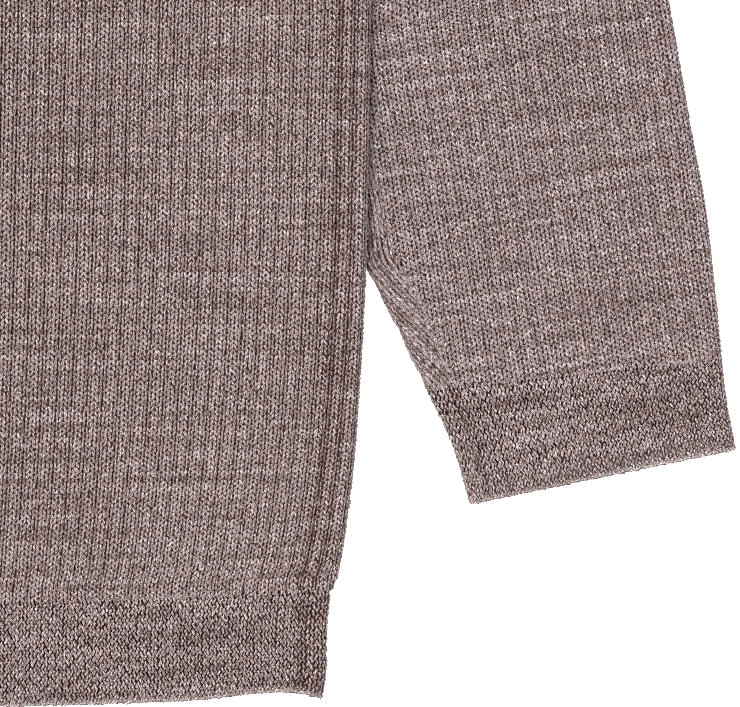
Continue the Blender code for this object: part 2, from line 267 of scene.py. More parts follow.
TubeRow = namedtuple("TubeRow", "inner_x inner_y outer_x outer_y seam_inset cap")
SLEEVE_ROWS = (  # down from the armhole to the cuff; cap is how far the row follows the armhole
    TubeRow(135.6, 210.0, 127.3, 316.2, 13.5, 1.0),
    TubeRow(135.7, 206.8, 142.0, 311.5, 12.5, 0.25),
    TubeRow(135.6, 201.5, 158.5, 301.0, 11.5, 0.1),
    TubeRow(135.4, 196.0, 175.5, 283.5, 10.5, 0.0),
    TubeRow(134.9, 189.0, 190.5, 258.0, 9.5, 0.0),
    TubeRow(132.0, 177.0, 201.5, 226.0, 8.6, 0.0),
    TubeRow(124.5, 164.5, 208.0, 187.0, 8.6, 0.0),
    TubeRow(119.8, 147.0, 212.5, 161.5, 9.6, 0.0),
    TubeRow(124.8, 128.3, 215.6, 143.3, 9.6, 0.0),
    TubeRow(133.9, 110.2, 218.8, 126.0, 8.4, 0.0),
    TubeRow(142.0, 94.5, 221.0, 108.0, 7.2, 0.0),
    TubeRow(148.98, 79.65, 222.89, 87.55, 6.7, 0.0),
)
CUFF_ROWS = (
    TubeRow(149.0, 79.6, 222.9, 87.5, 6.7, 0.0),
    TubeRow(154.8, 67.3, 223.9, 78.0, 5.6, 0.0),
    TubeRow(160.0, 51.0, 226.4, 64.7, 4.2, 0.0),
)


def fold_lines(table):
    """The outer and the inner fold of a tube, from its lower end up."""
    rows = table[::-1]
    outer = zip(*columns_of(rows, "outer_x", "outer_y"))
    inner = zip(*columns_of(rows, "inner_x", "inner_y"))
    return Line(list(outer)), Line(list(inner))


SLEEVE_OUTER, SLEEVE_INNER = fold_lines(SLEEVE_ROWS)
CUFF_OUTER, CUFF_INNER = fold_lines(CUFF_ROWS)


def hem_line(x):
    return HEM_RISE * (x / CHEST_HALF_WIDTH) ** 2


def hem_height(x, height):
    """Where a height of the hem band lies at x."""
    waves = sum(wave.height * bell(np.abs(x), wave.x, wave.width) for wave in HEM_WAVES)
    return hem_line(x) + height + waves * smooth_step(1.0 - height / HEM_WAVE_GONE)


def body_height(x, height):
    """Where a height of the body lies at x."""
    share = smooth_step((HEM_CURVE_GONE - height) / (HEM_CURVE_GONE - HEM_CURVE_FULL))
    return height + hem_line(x) * share


def neck_curve(x, half_width, side_height, drop):
    share = np.minimum(1.0, np.abs(x) / half_width)
    return side_height - drop * np.cos(np.pi / 2 * share**NECK_ROUNDNESS)


def top_line(x, neck_drop):
    """The shoulder line outside the neck, and the neck's edge inside it."""
    neck = neck_curve(x, NECK_HALF_WIDTH, SHOULDER_HEIGHT, neck_drop)
    slope = (SHOULDER_HEIGHT - SHOULDER_TIP_HEIGHT) / (SHOULDER_TIP_HALF_WIDTH - NECK_HALF_WIDTH)
    shoulder = SHOULDER_HEIGHT - slope * (np.abs(x) - NECK_HALF_WIDTH)
    return np.where(np.abs(x) < NECK_HALF_WIDTH, neck, shoulder)


def armhole_height(x):
    """How high the armhole's edge is at that distance from the middle, below the side seam's top."""
    half_widths, heights = zip(*sorted(ARMHOLE[:3]))
    return np.interp(np.abs(x), half_widths, heights)


def seam_curve():
    """The front's half width, below the underarm to the side seam and above it to the armhole."""
    low = [(r.height, r.half_width - BODY_SEAM_INSET - SEAM_GAP) for r in SIDE_ROWS]
    high = [(p.height, p.half_width) for p in ARMHOLE[2:]]
    return Curve(*zip(*low, *high))


seam_half_width = seam_curve()


def front_x(height, share):
    """x of a wale of the front, by its share of the way to the side seam."""
    climb = np.minimum(1.0, height / UNDERARM_HEIGHT)
    return share * seam_half_width(height) + WALE_BOW * np.sin(np.pi * share) * climb


# ---------------------------------------------------------------- lift and creases

Crease = namedtuple("Crease", "x0 y0 x1 y1 width height")
BODY_CREASES = (  # soft ridges above nought and troughs below it, on the upper layer
    Crease(86.0, 52.0, 118.0, 55.0, 7.0, 0.5),
    Crease(104.0, 76.0, 126.0, 88.0, 8.0, 0.6),
    Crease(70.0, 150.0, 122.0, 196.0, 12.0, -0.35),
    Crease(20.0, 118.0, 78.0, 128.0, 16.0, 0.45),
    Crease(-96.0, 60.0, -52.0, 70.0, 9.0, 0.5),
    Crease(-122.0, 100.0, -98.0, 84.0, 8.0, 0.55),
    Crease(-116.0, 190.0, -70.0, 158.0, 12.0, -0.35),
    Crease(-30.0, 236.0, 34.0, 228.0, 18.0, 0.5),
    Crease(84.0, 236.0, 122.0, 222.0, 9.0, 0.5),
    Crease(-124.0, 224.0, -82.0, 240.0, 9.0, 0.5),
)
SLEEVE_CREASES = (
    Crease(146.0, 112.0, 176.0, 136.0, 9.0, 0.7),
    Crease(160.0, 92.0, 200.0, 106.0, 10.0, -0.3),
    Crease(182.0, 128.0, 206.0, 136.0, 9.0, 0.6),
    Crease(142.0, 204.0, 178.0, 232.0, 8.0, 1.2),
    Crease(142.0, 198.0, 190.0, 208.0, 8.0, 1.0),
    Crease(141.0, 210.0, 156.0, 262.0, 7.0, 1.0),
    Crease(150.0, 160.0, 198.0, 176.0, 12.0, 0.5),
)


def crease_height(creases, x, y):
    """The sum of the creases at a point. Each is highest half way along and fades to both ends."""
    total = np.zeros(np.shape(x))
    for crease in creases:
        step_x, step_y = crease.x1 - crease.x0, crease.y1 - crease.y0
        length = math.hypot(step_x, step_y)
        along = ((x - crease.x0) * step_x + (y - crease.y0) * step_y) / length**2
        apart = ((x - crease.x0) * step_y - (y - crease.y0) * step_x) / length
        total += crease.height * smooth_step(1.0 - np.abs(2 * along - 1)) * bell(apart, 0.0, crease.width)
    return total


def side_lift(x, y):
    """How far the side of the body is lifted by the sleeve that lies under it."""
    inset = side_half_width(y) - np.abs(x)
    share = smooth_step((LIFT_GONE_BEYOND - inset) / (LIFT_GONE_BEYOND - LIFT_FULL_WITHIN))
    return OVERLAP_LIFT * np.clip(side_lift_share(y), 0.0, 1.0) * share


# Each of these gives how far the cloth is raised at x, y, where it has turned by angle round a fold


def back_raised(x, y, angle):
    return side_lift(x, y) + crease_height(BODY_CREASES, x, y) * np.maximum(0.0, np.cos(angle))


def front_raised(side):
    """For the front. side is -1 on the half that is mirrored after it is made."""

    def raised(x, y, angle):
        below_top = top_line(x, FRONT_NECK_DROP) - y
        fade = smooth_step(below_top / NECK_FADE) * smooth_step((y - HEM_CURVE_FULL) / HEM_FADE)
        creases = crease_height(BODY_CREASES, side * x, y) * fade * np.maximum(0.0, np.cos(angle))
        closing = np.where(np.abs(x) > NECK_HALF_WIDTH, smooth_step(1.0 - below_top / SHOULDER_CLOSING), 0.0)
        lift = side_lift(np.minimum(x, side_half_width(y)), y)
        return lift + creases - (LAYER_GAP - SEAM_GAP) * closing

    return raised


def sleeve_raised(x, y, angle):
    return crease_height(SLEEVE_CREASES, x, y) * np.maximum(0.0, np.cos(angle))


def not_raised(x, y, angle):
    return np.zeros(np.shape(x))


# ---------------------------------------------------------------- how each kind of cloth is ribbed

# depth is in millimetres, or in brightness for a painted shade, and width in wales. A groove lies at its
# wale, and again every so many wales if it says so
Groove = namedtuple("Groove", "depth width wale every", defaults=(None,))


def profile(crest, *grooves):
    """A graph over the wales: the crest, less in each groove."""

    def at(wale):
        total = np.full(np.shape(wale), float(crest))
        for groove in grooves:
            apart = wale - groove.wale
            if groove.every:
                apart = (apart + groove.every / 2) % groove.every - groove.every / 2
            total = total - groove.depth * bell(apart, 0.0, groove.width)
        return total

    return at


# Ribs of two wales: a deep groove on each odd wale line and a shallow one on each even one
TWO_WALE_RIBS = (Groove(0.5, 0.28, 1, 2), Groove(0.14, 0.24, 0, 2))
# Ribs of one wale, each split by a line down its middle
ONE_WALE_RIBS = (Groove(0.6, 0.17, 0, 1), Groove(0.5, 0.12, 0.5, 1))
two_wale_relief = profile(0.3, *TWO_WALE_RIBS)
one_wale_relief = profile(0.28, *ONE_WALE_RIBS)
sunk_plain = profile(-0.25)  # under the sleeve's yarn, whose wales don't draw together as the shell's do
level = profile(0.0)

BODY_SEAM = (BODY_WALES, BODY_WALES + 2)  # the side seam, and the groove between the two ribs beside it
body_relief = profile(0.3, *TWO_WALE_RIBS, Groove(0.25, 0.7, BODY_SEAM[0]), Groove(0.2, 0.4, BODY_SEAM[1]))
# The shade profiles are painted shade: the yarn is painted darker in and beside the rib grooves and at the
# seams, where shade falls, and lighter by the crest elsewhere.
body_shade = profile(
    0.035, Groove(0.08, 0.45, 1, 2), Groove(0.09, 0.7, BODY_SEAM[0]), Groove(0.08, 0.5, BODY_SEAM[1])
)
hem_relief = profile(0.28, *ONE_WALE_RIBS, Groove(0.25, 0.5, HEM_WALES))
hem_shade = profile(0.0, Groove(0.1, 0.7, HEM_WALES), Groove(0.06, 0.6, HEM_WALES + 2))
cuff_relief = profile(0.28, *ONE_WALE_RIBS, Groove(0.25, 0.5, CUFF_WALES))
cuff_shade = profile(0.0, Groove(0.08, 0.7, CUFF_WALES))
sleeve_relief = profile(0.25, Groove(0.4, 0.22, 1, 2), Groove(0.14, 0.2, 0, 2))
sleeve_shade = profile(0.02, Groove(0.04, 0.45, 1, 2))
turned_relief = profile(0.34, Groove(0.7, 0.36, 0, 2), Groove(0.15, 0.3, 1, 2))
turned_shade = profile(0.04, Groove(0.12, 0.4, 0, 2))


# ---------------------------------------------------------------- shells

TOP = 90
BOTTOM = 270
FOLD_STEP = 15
INNER_FOLD_STEP = 30
INNER_EVERY = 4  # on the flat, the inner face has a point on every fourth column
SHARP_EDGE = 50
BEND_SINK = 0.4  # the share of the yarn's sink that is left where a fold looks sideways

# A column of a shell: the place of its centre across the tube, the angle at which it looks out of the
# tube, its wale for the ribs (None on the plain underside), and whether the inner face has a point too
Column = namedtuple("Column", "centre angle wale has_inner")


def flat_columns(places, wales):
    """Columns of the upper layer. Some of them have an inner point, and the last one always does."""
    last = len(places) - 1
    numbered = enumerate(zip(places, wales))
    return [Column(place, TOP, wale, i % INNER_EVERY == 0 or i == last) for i, (place, wale) in numbered]


def upper_columns(start, end, first_wale, last_wale):
    """The upper layer from start to end, with four columns a wale pair."""
    count = int(round(abs(last_wale - first_wale))) * 2 + 1
    return flat_columns(np.linspace(start, end, count), np.linspace(first_wale, last_wale, count))


def fold_columns(first_wale, wale_size):
    """Round the fold at the left, from the upper layer to the lower one."""
    columns = []
    for angle in range(TOP, BOTTOM + 1, FOLD_STEP):
        wale = first_wale + math.radians(angle - TOP) * FOLD_RADIUS / wale_size
        has_inner = angle % INNER_FOLD_STEP == 0
        columns.append(Column(FOLD_RADIUS, angle, None if angle == BOTTOM else wale, has_inner))
    return columns


def wrap_columns(inset, first_wale, last_wale, wale_size):
    """From a seam on the upper layer to the fold at the left, and round it."""
    flat = upper_columns(inset, FOLD_RADIUS, first_wale, last_wale)
    return flat[:-1] + fold_columns(last_wale, wale_size)


def under_columns(places):
    return [Column(place, BOTTOM, None, True) for place in places]


def mirrored(columns, width):
    """The same columns from the other side of a tube of that width."""
    return [Column(width - c.centre, 180 - c.angle, c.wale, c.has_inner) for c in reversed(columns)]


def closed_tube(half, half_width):
    """Both halves of a tube, with the column between them."""
    return half + under_columns((half_width,)) + mirrored(half, 2 * half_width)


def column_point(column, is_outer, relief):
    """How far across the tube and how high a column's point lies."""
    angle = math.radians(column.angle)
    radius = FOLD_RADIUS if is_outer else INNER_RADIUS
    if is_outer and column.wale is not None:
        facing_up = max(0.0, math.sin(angle))
        radius += relief(column.wale) * facing_up - YARN_SINK * (BEND_SINK + (1 - BEND_SINK) * facing_up)
    return column.centre + radius * math.cos(angle), FOLD_RADIUS + radius * math.sin(angle)


def turned(column):
    """How far the cloth has turned from facing up, on the covered part of a shell."""
    return math.radians(column.angle - TOP)


def to_frame(points):
    """Layout millimetres to the frame's metres."""
    points = np.array(points, float) * MM
    points[..., 1] += HEM_IN_FRAME
    return points


def in_scene(name, data):
    piece = bpy.data.objects.new(name, data)
    bpy.context.collection.objects.link(piece)
    return piece


def shell(node, rows, place, relief, spans=None, open_rows=()):
    """One closed wall of cloth over a node. rows holds each row's columns, and place(row, column, across)
    gives a point's x and y and how far it is raised. spans says how many rows high each stretch between
    two columns with inner points is, and open_rows which rows are free edges."""
    columns = rows[0]
    kept = [i for i, column in enumerate(columns) if column.has_inner]
    spans = spans or [len(rows) - 1] * (len(kept) - 1)
    mesh = bmesh.new()
    covered = mesh.verts.layers.float.new("covered")
    made = {}

    def corner(row, i, is_outer):
        if (row, i, is_outer) not in made:
            column = rows[row][i]
            across, height = column_point(column, is_outer, relief)
            x, y, raised = place(row, column, across)
            vertex = mesh.verts.new(to_frame((x, y, height + raised)))
            # where yarn covers the cloth, its material paints it the dark gap colour, as painted shade
            vertex[covered] = float(column.wale is not None and row not in open_rows)
            made[row, i, is_outer] = vertex
        return made[row, i, is_outer]

    def out(row, i):
        return corner(row, i, True)

    def into(row, i):
        return corner(row, i, False)

    for left, right, top in zip(kept[:-1], kept[1:], spans):
        for row in range(top):
            mesh.faces.new((into(row, right), into(row, left), into(row + 1, left), into(row + 1, right)))
            for i in range(left, right):
                mesh.faces.new((out(row, i), out(row, i + 1), out(row + 1, i + 1), out(row + 1, i)))
        for row in (0, top):
            rim = [out(row, i) for i in range(left, right + 1)]
            mesh.faces.new(rim + [into(row, right), into(row, left)])
    for i, before, after in zip(kept, [0] + spans, spans + [0]):
        for row in range(min(before, after), max(before, after)):
            mesh.faces.new((out(row, i), out(row + 1, i), into(row + 1, i), into(row, i)))

    bmesh.ops.recalc_face_normals(mesh, faces=mesh.faces)
    data = bpy.data.meshes.new(node + "_cloth")
    mesh.to_mesh(data)
    mesh.free()
    data.shade_smooth()
    data.set_sharp_from_angle(angle=math.radians(SHARP_EDGE))
    return in_scene(node + "_cloth", data)


BODY_SHELL_HEIGHTS = np.concatenate(
    [np.linspace(27.0, 37.0, 4), np.linspace(44.0, 204.0, 24), [209.0, UNDERARM_HEIGHT]]
)
UNDERARM_ROW = len(BODY_SHELL_HEIGHTS) - 1
UPPER_ROWS = 13  # from the underarm to the neck and shoulder
TOP_ROW = UNDERARM_ROW + UPPER_ROWS
UNDER_INSETS = (3.8, 8.35, 13.0, 18.0, 23.4, 28.8, 34.2, 39.6, LIFT_GONE_BEYOND)
UNDER_EDGE = 1  # the place in UNDER_INSETS of the column that runs on up the armhole
UNDER_NECK = (NECK_HALF_WIDTH, 50.0, 40.0, 30.0, 20.0, 10.0)
TUBE_UNDER_STEPS = 11  # across the lower layer of a sleeve or a cuff, and of half the hem
NECK_UNDER_STEPS = 13
NECKBAND_ROWS = 5
SLEEVE_SHELL_ROWS = 34
CUFF_SHELL_ROWS = 6
HEM_SHELL_HEIGHTS = (0.0, 3.0, 6.5, 11.0, 15.5, 20.5, HEM_HEIGHT)


def body_row_height(row, x, neck_drop):
    if row == 0:
        return hem_line(x) + HEM_HEIGHT + SHELL_GAP
    if row < UNDERARM_ROW:
        return body_height(x, BODY_SHELL_HEIGHTS[row])
    start = min(SEAM_TOP.height, armhole_height(x))
    return start + (row - UNDERARM_ROW) / UPPER_ROWS * (top_line(x, neck_drop) - start)


def body_back_shell():
    last_wale = BODY_WALES + (BODY_SEAM_INSET - FOLD_RADIUS) / WRAP_WALE
    wrap = wrap_columns(BODY_SEAM_INSET, BODY_WALES, last_wale, WRAP_WALE)
    half_widths = [side_half_width(BODY_SHELL_HEIGHTS[min(r, UNDERARM_ROW)]) for r in range(TOP_ROW + 1)]
    rows = []
    for half_width in half_widths:
        centres = [half_width - x * half_width / CHEST_HALF_WIDTH for x in UNDER_NECK]
        rows.append(closed_tube(wrap + under_columns((*UNDER_INSETS, *centres)), half_width))

    def place(row, column, across):
        x = across - half_widths[row]
        if row > UNDERARM_ROW:
            y = body_row_height(row, x, BACK_NECK_DROP)
            x = x / SEAM_TOP.half_width * armhole_half_width(max(y, SEAM_TOP.height))
        y = body_row_height(row, x, BACK_NECK_DROP)
        if column.wale is None:
            return x, y, side_lift(x, y)
        return x, y, back_raised(x, y, turned(column))

    side_stretches = sum(column.has_inner for column in wrap) + UNDER_EDGE
    stretches = sum(column.has_inner for column in rows[0]) - 1
    side = [UNDERARM_ROW] * side_stretches
    spans = side + [TOP_ROW] * (stretches - 2 * side_stretches) + side
    return shell("body_back", rows, place, two_wale_relief, spans)


def body_front_shell():
    columns = upper_columns(-1.0, 1.0, -BODY_WALES, BODY_WALES)
    raised = front_raised(1)

    def place(row, column, share):
        if row <= UNDERARM_ROW:
            height = BODY_SHELL_HEIGHTS[row]
        else:
            height = body_row_height(row, share * SEAM_TOP.half_width, FRONT_NECK_DROP)
        x = front_x(height, share)
        y = body_row_height(row, x, FRONT_NECK_DROP)
        return x, y, raised(x, y, 0.0)

    return shell("body_front", [columns] * (TOP_ROW + 1), place, two_wale_relief)


def hem_shells():
    last_wale = HEM_WALES + (HEM_SEAM_INSET - FOLD_RADIUS) / HEM_WRAP_WALE
    wrap = wrap_columns(HEM_SEAM_INSET, HEM_WALES, last_wale, HEM_WRAP_WALE)
    inset = HEM_SEAM_INSET + SEAM_GAP
    back, front = [], []
    for half_width in hem_half_width(HEM_SHELL_HEIGHTS):
        lower = under_columns(np.linspace(FOLD_RADIUS, half_width, TUBE_UNDER_STEPS + 1)[1:-1])
        back.append(closed_tube(wrap + lower, half_width))
        front.append(upper_columns(inset, 2 * half_width - inset, -HEM_WALES, HEM_WALES))

    def place(row, column, across):
        height = HEM_SHELL_HEIGHTS[row]
        x = across - hem_half_width(height)
        return x, hem_height(x, height), 0.0

    return {
        "hem_back": shell("hem_back", back, place, one_wale_relief, open_rows=(0,)),
        "hem_front": shell("hem_front", front, place, one_wale_relief, open_rows=(0,)),
    }


def finer_rows(table, count):
    """The table's rows with smooth ones between them."""
    numbers = np.arange(len(table), dtype=float)
    curves = [Curve(numbers, column) for column in zip(*table)]
    return [TubeRow(*(float(curve(n)) for curve in curves)) for n in np.linspace(0.0, numbers[-1], count)]


def row_step(row):
    """From a tube row's inner end to its outer one."""
    return np.array([row.outer_x - row.inner_x, row.outer_y - row.inner_y])


def armhole_bulge(share):
    """How far the armhole's edge lies from its own chord, a seam's gap outside it."""
    points, directions = armhole_line.at(np.array([0.0, np.clip(share, 0.0, 1.0), 1.0]) * armhole_line.length)
    outward = np.stack([directions[:, 1], -directions[:, 0]], axis=1)
    start, point, end = points + outward * SEAM_GAP
    return point - start - (end - start) * share


def tube_shell(node, table, side, wale_size, relief, raised, open_rows=()):
    """A flattened tube that is closed by one seam on its upper layer, beside its inner fold."""
    middle = table[len(table) // 2]
    upper_wales = round((np.hypot(*row_step(middle)) - FOLD_RADIUS - middle.seam_inset) / wale_size)
    rows = []
    for row in table:
        width = np.hypot(*row_step(row))
        wrap = wrap_columns(row.seam_inset, 0, SLEEVE_WRAP_WALES, wale_size)
        lower = under_columns(np.linspace(FOLD_RADIUS, width - FOLD_RADIUS, TUBE_UNDER_STEPS + 1)[1:-1])
        outer_fold = mirrored(fold_columns(upper_wales, wale_size), width)
        upper = upper_columns(width - FOLD_RADIUS, row.seam_inset + SEAM_GAP, upper_wales, 0)
        rows.append(wrap + lower + outer_fold + upper[1:])

    def place(row, column, across):
        line = table[row]
        share = across / np.hypot(*row_step(line))
        x, y = np.array([line.inner_x, line.inner_y]) + row_step(line) * share
        if line.cap > 0.0:
            x, y = (x, y) + line.cap * armhole_bulge(share)
        return side * x, y, 0.0 if column.wale is None else raised(x, y, turned(column))

    return shell(node, rows, place, relief, open_rows=open_rows)


NeckRow = namedtuple("NeckRow", "half_width side_height front_drop back_drop")


def neck_row(share):
    """The neckband's outline at that share of the way from its seam to its free edge."""
    half_width = NECK_HALF_WIDTH - SEAM_GAP - share * NECKBAND_LEAN
    side_height = SHOULDER_HEIGHT + SEAM_GAP + share * NECKBAND_SIDE_RISE
    less = share * (NECKBAND_HEIGHT - NECKBAND_SIDE_RISE)
    return NeckRow(half_width, side_height, FRONT_NECK_DROP - less, BACK_NECK_DROP - less)


def neck_length_table(samples=400):
    """Shares of the half width, and the share of the front curve's length that each has reached."""
    row = neck_row(0.0)
    shares = np.linspace(0.0, 1.0, samples)
    x = shares * row.half_width
    y = neck_curve(x, row.half_width, row.side_height, row.front_drop)
    reached = Line.lengths(np.stack([x, y], axis=1))
    return shares, reached / reached[-1], reached[-1]


NECK_SHARES, NECK_REACHED, NECK_HALF_LENGTH = neck_length_table()
NECK_WALES = round(NECK_HALF_LENGTH / BAND_WALE)


def neckband_shell():
    lines = [neck_row(share) for share in np.linspace(0.0, 1.0, NECKBAND_ROWS)]
    lengths = np.linspace(-1.0, 1.0, 4 * NECK_WALES + 1)
    across_shares = np.sign(lengths) * np.interp(np.abs(lengths), NECK_REACHED, NECK_SHARES)
    fold = fold_columns(NECK_WALES, BAND_WALE)
    rows = []
    for line in lines:
        width = 2 * line.half_width
        half = under_columns(np.linspace(FOLD_RADIUS, line.half_width, NECK_UNDER_STEPS + 1)[1:-1])
        limit = 1.0 - (FOLD_RADIUS + SEAM_GAP) / line.half_width
        upper = flat_columns(line.half_width * (1.0 - across_shares * limit), lengths * NECK_WALES)
        rows.append(fold + closed_tube(half, line.half_width) + mirrored(fold, width) + upper)

    def place(row, column, across):
        line = lines[row]
        is_front = math.sin(math.radians(column.angle)) > 0
        drop = line.front_drop if is_front else line.back_drop
        x = across - line.half_width
        return x, neck_curve(x, line.half_width, line.side_height, drop), 0.0

    return shell("neckband", rows, place, one_wale_relief, open_rows=(NECKBAND_ROWS - 1,))


# ---------------------------------------------------------------- yarn

# A leg of a stitch, in shares: across the wale from the stitch's middle, and up its course. Its half
# width, its height and its sway are in millimetres. Legs beside a deep groove keep a share of the slant,
# right legs lie higher than left ones by the stagger, a share of a course, spread is how much of its
# length is thick, and sway how far its thick part leans over, from the left at its foot to the right.
Leg = namedtuple(
    "Leg", "foot_across foot_up top_across top_up half_width height grooved_slant stagger spread sway"
)
BODY_LEG = Leg(0.05, -0.14, 0.42, 1.14, 0.41, 0.42, 0.45, 0.05, 1.0, 0.0)
SLEEVE_LEG = Leg(0.07, -0.2, 0.43, 1.16, 0.47, 0.34, 0.9, 0.0, 1.0, 0.0)
TURNED_LEG = Leg(0.12, -0.4, 0.38, 1.3, 0.54, 0.5, 0.8, 0.3, 1.0, 0.0)
DECREASE_LEG = TURNED_LEG._replace(half_width=0.42)
BAND_LEG = Leg(0.22, -0.1, 0.29, 1.1, 0.44, 0.42, 1.0, 0.5, 0.7, 0.19)
CUFF_LEG = BAND_LEG._replace(sway=-BAND_LEG.sway)  # the cuff's wales are counted inward
EDGE_LEG = Leg(-0.34, 0.1, 0.34, 0.3, 0.5, 0.5, 1.0, 0.0, 1.0, 0.0)  # a bead of a cast-on edge

# How much legs differ from one another: places in wales and courses, sizes in shares of themselves
WALE_DRIFT = 0.02
FOOT_STRAY = 0.03
TOP_STRAY = 0.035
COURSE_SLIP = 0.06
EDGE_SLIP = 0.04
WIDTH_SPREAD = 0.1
HEIGHT_SPREAD = 0.14

# Points of a leg: share along it, side, share of its height, and 0 at the rim to 1 on the ridge, which sets
# the painted shade at its rim
LegPoint = namedtuple("LegPoint", "along side height ridge")
LEG_POINTS = (
    LegPoint(0.0, 0.0, 0.1, 0.3),
    LegPoint(0.16, -1.0, 0.0, 0.0),
    LegPoint(0.2, 0.0, 0.95, 1.0),
    LegPoint(0.16, 1.0, 0.0, 0.0),
    LegPoint(0.84, -1.0, 0.0, 0.0),
    LegPoint(0.8, 0.0, 1.0, 1.0),
    LegPoint(0.84, 1.0, 0.0, 0.0),
    LegPoint(1.0, 0.0, 0.1, 0.3),
)
LEG_FACES = ((0, 3, 2), (0, 2, 1), (2, 3, 6), (2, 6, 5), (1, 2, 5), (1, 5, 4), (5, 6, 7), (4, 5, 7))
MIRRORED_POINTS = [0, 3, 2, 1, 6, 5, 4, 7]  # the order that keeps a mirrored leg's faces looking up


def no_fold(points):
    return np.full(len(points), 2 * FOLD_RADIUS), np.tile((1.0, 0.0), (len(points), 1))


def everywhere(points):
    return np.full(len(points), True)


# Where stitches lie. place gives the layout's point of a wale and a course, fold how far inside its outermost
# line a point lies and which way is outward, relief how high the yarn lies by its wale, shade how much
# lighter the yarn is painted by its wale, less in its grooves as painted shade, raised how far the cloth is
# raised, and keep where stitches stay. crowded is how high a row may get, in courses, where courses that draw
# together are left out.
Region = namedtuple(
    "Region",
    "wales courses place leg relief shade fold raised keep face crowded",
    defaults=(level, no_fold, not_raised, everywhere, UPPER_FACE, None),
)


def bend(points, middles, depth, outward, heights, face):
    """Bends flat cloth round its fold. depth is how far each leg lies inside the fold's outermost line."""
    radius = FOLD_RADIUS
    outwards = ((points - middles[:, None]) * outward[:, None]).sum(axis=2)
    inside = depth[:, None] - outwards
    angle = np.maximum(0.0, (radius - inside) / radius)
    reach = (radius + heights) * np.sin(angle) - radius
    shift = np.where(angle > 0.0, reach + inside, 0.0)
    flat = points + shift[..., None] * outward[:, None]
    z = face - radius + (radius + heights) * np.cos(angle)
    return flat, z, angle


def legs_between(region, feet, tops, foot_wale, top_wale, courses, rng):
    """The points and the attributes of legs that run from feet to tops."""
    middles = (feet + tops) / 2
    depth, outward = region.fold(middles)
    kept = region.keep(middles) & (depth > ROUND_LIMIT)
    feet, tops, middles, depth, outward, foot_wale, top_wale, courses = (
        values[kept] for values in (feet, tops, middles, depth, outward, foot_wale, top_wale, courses)
    )
    count = len(feet)
    leg = region.leg
    step = tops - feet
    right = np.stack([step[:, 1], -step[:, 0]], axis=1) / np.hypot(*step.T)[:, None]
    half_width = leg.half_width * rng.normal(1.0, WIDTH_SPREAD, count)
    height = leg.height * rng.normal(1.0, HEIGHT_SPREAD, count)
    along, sides, heights = np.array(columns_of(LEG_POINTS, "along", "side", "height"))
    is_tip = np.abs(along - 0.5) == 0.5
    sway = np.where(is_tip, 0.0, np.sign(along - 0.5)) * leg.sway
    along = np.where(is_tip, along, 0.5 + (along - 0.5) * leg.spread)
    points = feet[:, None] + step[:, None] * along[None, :, None]
    points = points + right[:, None] * (half_width[:, None] * sides + sway)[..., None]
    wale = foot_wale[:, None] + (top_wale - foot_wale)[:, None] * along
    rise = region.relief(wale) - YARN_SINK + height[:, None] * heights
    flat, z, angle = bend(points, middles, depth, outward, rise, region.face)
    z = np.maximum(z + region.raised(flat[..., 0], flat[..., 1], angle), 0.0)
    return {
        "points": np.concatenate([flat, z[..., None]], axis=2),
        "fabric": np.stack([(foot_wale + top_wale) / 2, courses, np.zeros(count)], axis=1),
        "tone": rng.random(count),
        "shade": region.shade((foot_wale + top_wale) / 2),
    }


def stitch_grid(region):
    """The first wale and course of each stitch, and how many courses high it is."""
    wale, course = np.meshgrid(np.arange(*region.wales), np.arange(*region.courses))
    wale, course = wale.ravel().astype(float), course.ravel().astype(float)
    every = np.ones(len(course))
    if region.crowded:
        for size in (2, 4, 8):
            start = course - course % size
            here, ahead = region.place(wale, start), region.place(wale, start + 1)
            spacing = np.hypot(*(ahead - here).T) / SLEEVE_COURSE
            every = np.where(spacing * size < region.crowded, size, every)
    runs_on = course % every == 0
    return wale[runs_on], course[runs_on], every[runs_on]


def region_legs(region, rng):
    """Every leg of a region."""
    wale, course, every = stitch_grid(region)
    first, last = (-np.inf, np.inf) if region.crowded else region.courses
    count = len(wale)
    batches = []
    for hand in (-1, 1):
        leg = region.leg._replace(sway=hand * region.leg.sway)
        middle = wale + 0.5 + rng.normal(0.0, WALE_DRIFT, count)
        # The deep grooves are on the odd wale lines
        beside_groove = (wale + (hand + 1) / 2) % 2 == 1
        slant = np.where(beside_groove, leg.grooved_slant, 1.0)
        foot_wale = middle + hand * (0.25 + slant * (leg.foot_across - 0.25))
        top_wale = middle + hand * (0.25 + slant * (leg.top_across - 0.25))
        foot_wale = foot_wale + rng.normal(0.0, FOOT_STRAY, count)
        top_wale = top_wale + rng.normal(0.0, TOP_STRAY, count)
        slip = rng.normal(0.0, COURSE_SLIP, count) + hand * leg.stagger / 2
        feet = region.place(foot_wale, np.maximum(course + (leg.foot_up + slip) * every, first))
        tops = region.place(top_wale, np.minimum(course + (leg.top_up + slip) * every, last))
        batches.append(
            legs_between(region._replace(leg=leg), feet, tops, foot_wale, top_wale, course, rng)
        )
    return joined(batches)


def edge_legs(region, course, rng):
    """The beads of a free edge, two to a wale."""
    beads = np.arange(*region.wales, 0.5) + 0.25
    count = len(beads)
    slip = rng.normal(0.0, EDGE_SLIP, count)
    foot_wale = beads + EDGE_LEG.foot_across + rng.normal(0.0, FOOT_STRAY, count)
    top_wale = beads + EDGE_LEG.top_across + rng.normal(0.0, FOOT_STRAY, count)
    feet = region.place(foot_wale, course + EDGE_LEG.foot_up + slip)
    tops = region.place(top_wale, course + EDGE_LEG.top_up + slip)
    courses = np.full(count, float(course))
    edge = region._replace(leg=EDGE_LEG, relief=profile(0.1), shade=profile(0.03))
    return legs_between(edge, feet, tops, foot_wale, top_wale, courses, rng)


def band_legs(region, edge_course, rng):
    """A ribbed band with the beads of its free edge."""
    return joined([region_legs(region, rng), edge_legs(region, edge_course, rng)])


def joined(batches):
    return {key: np.concatenate([batch[key] for batch in batches]) for key in batches[0]}


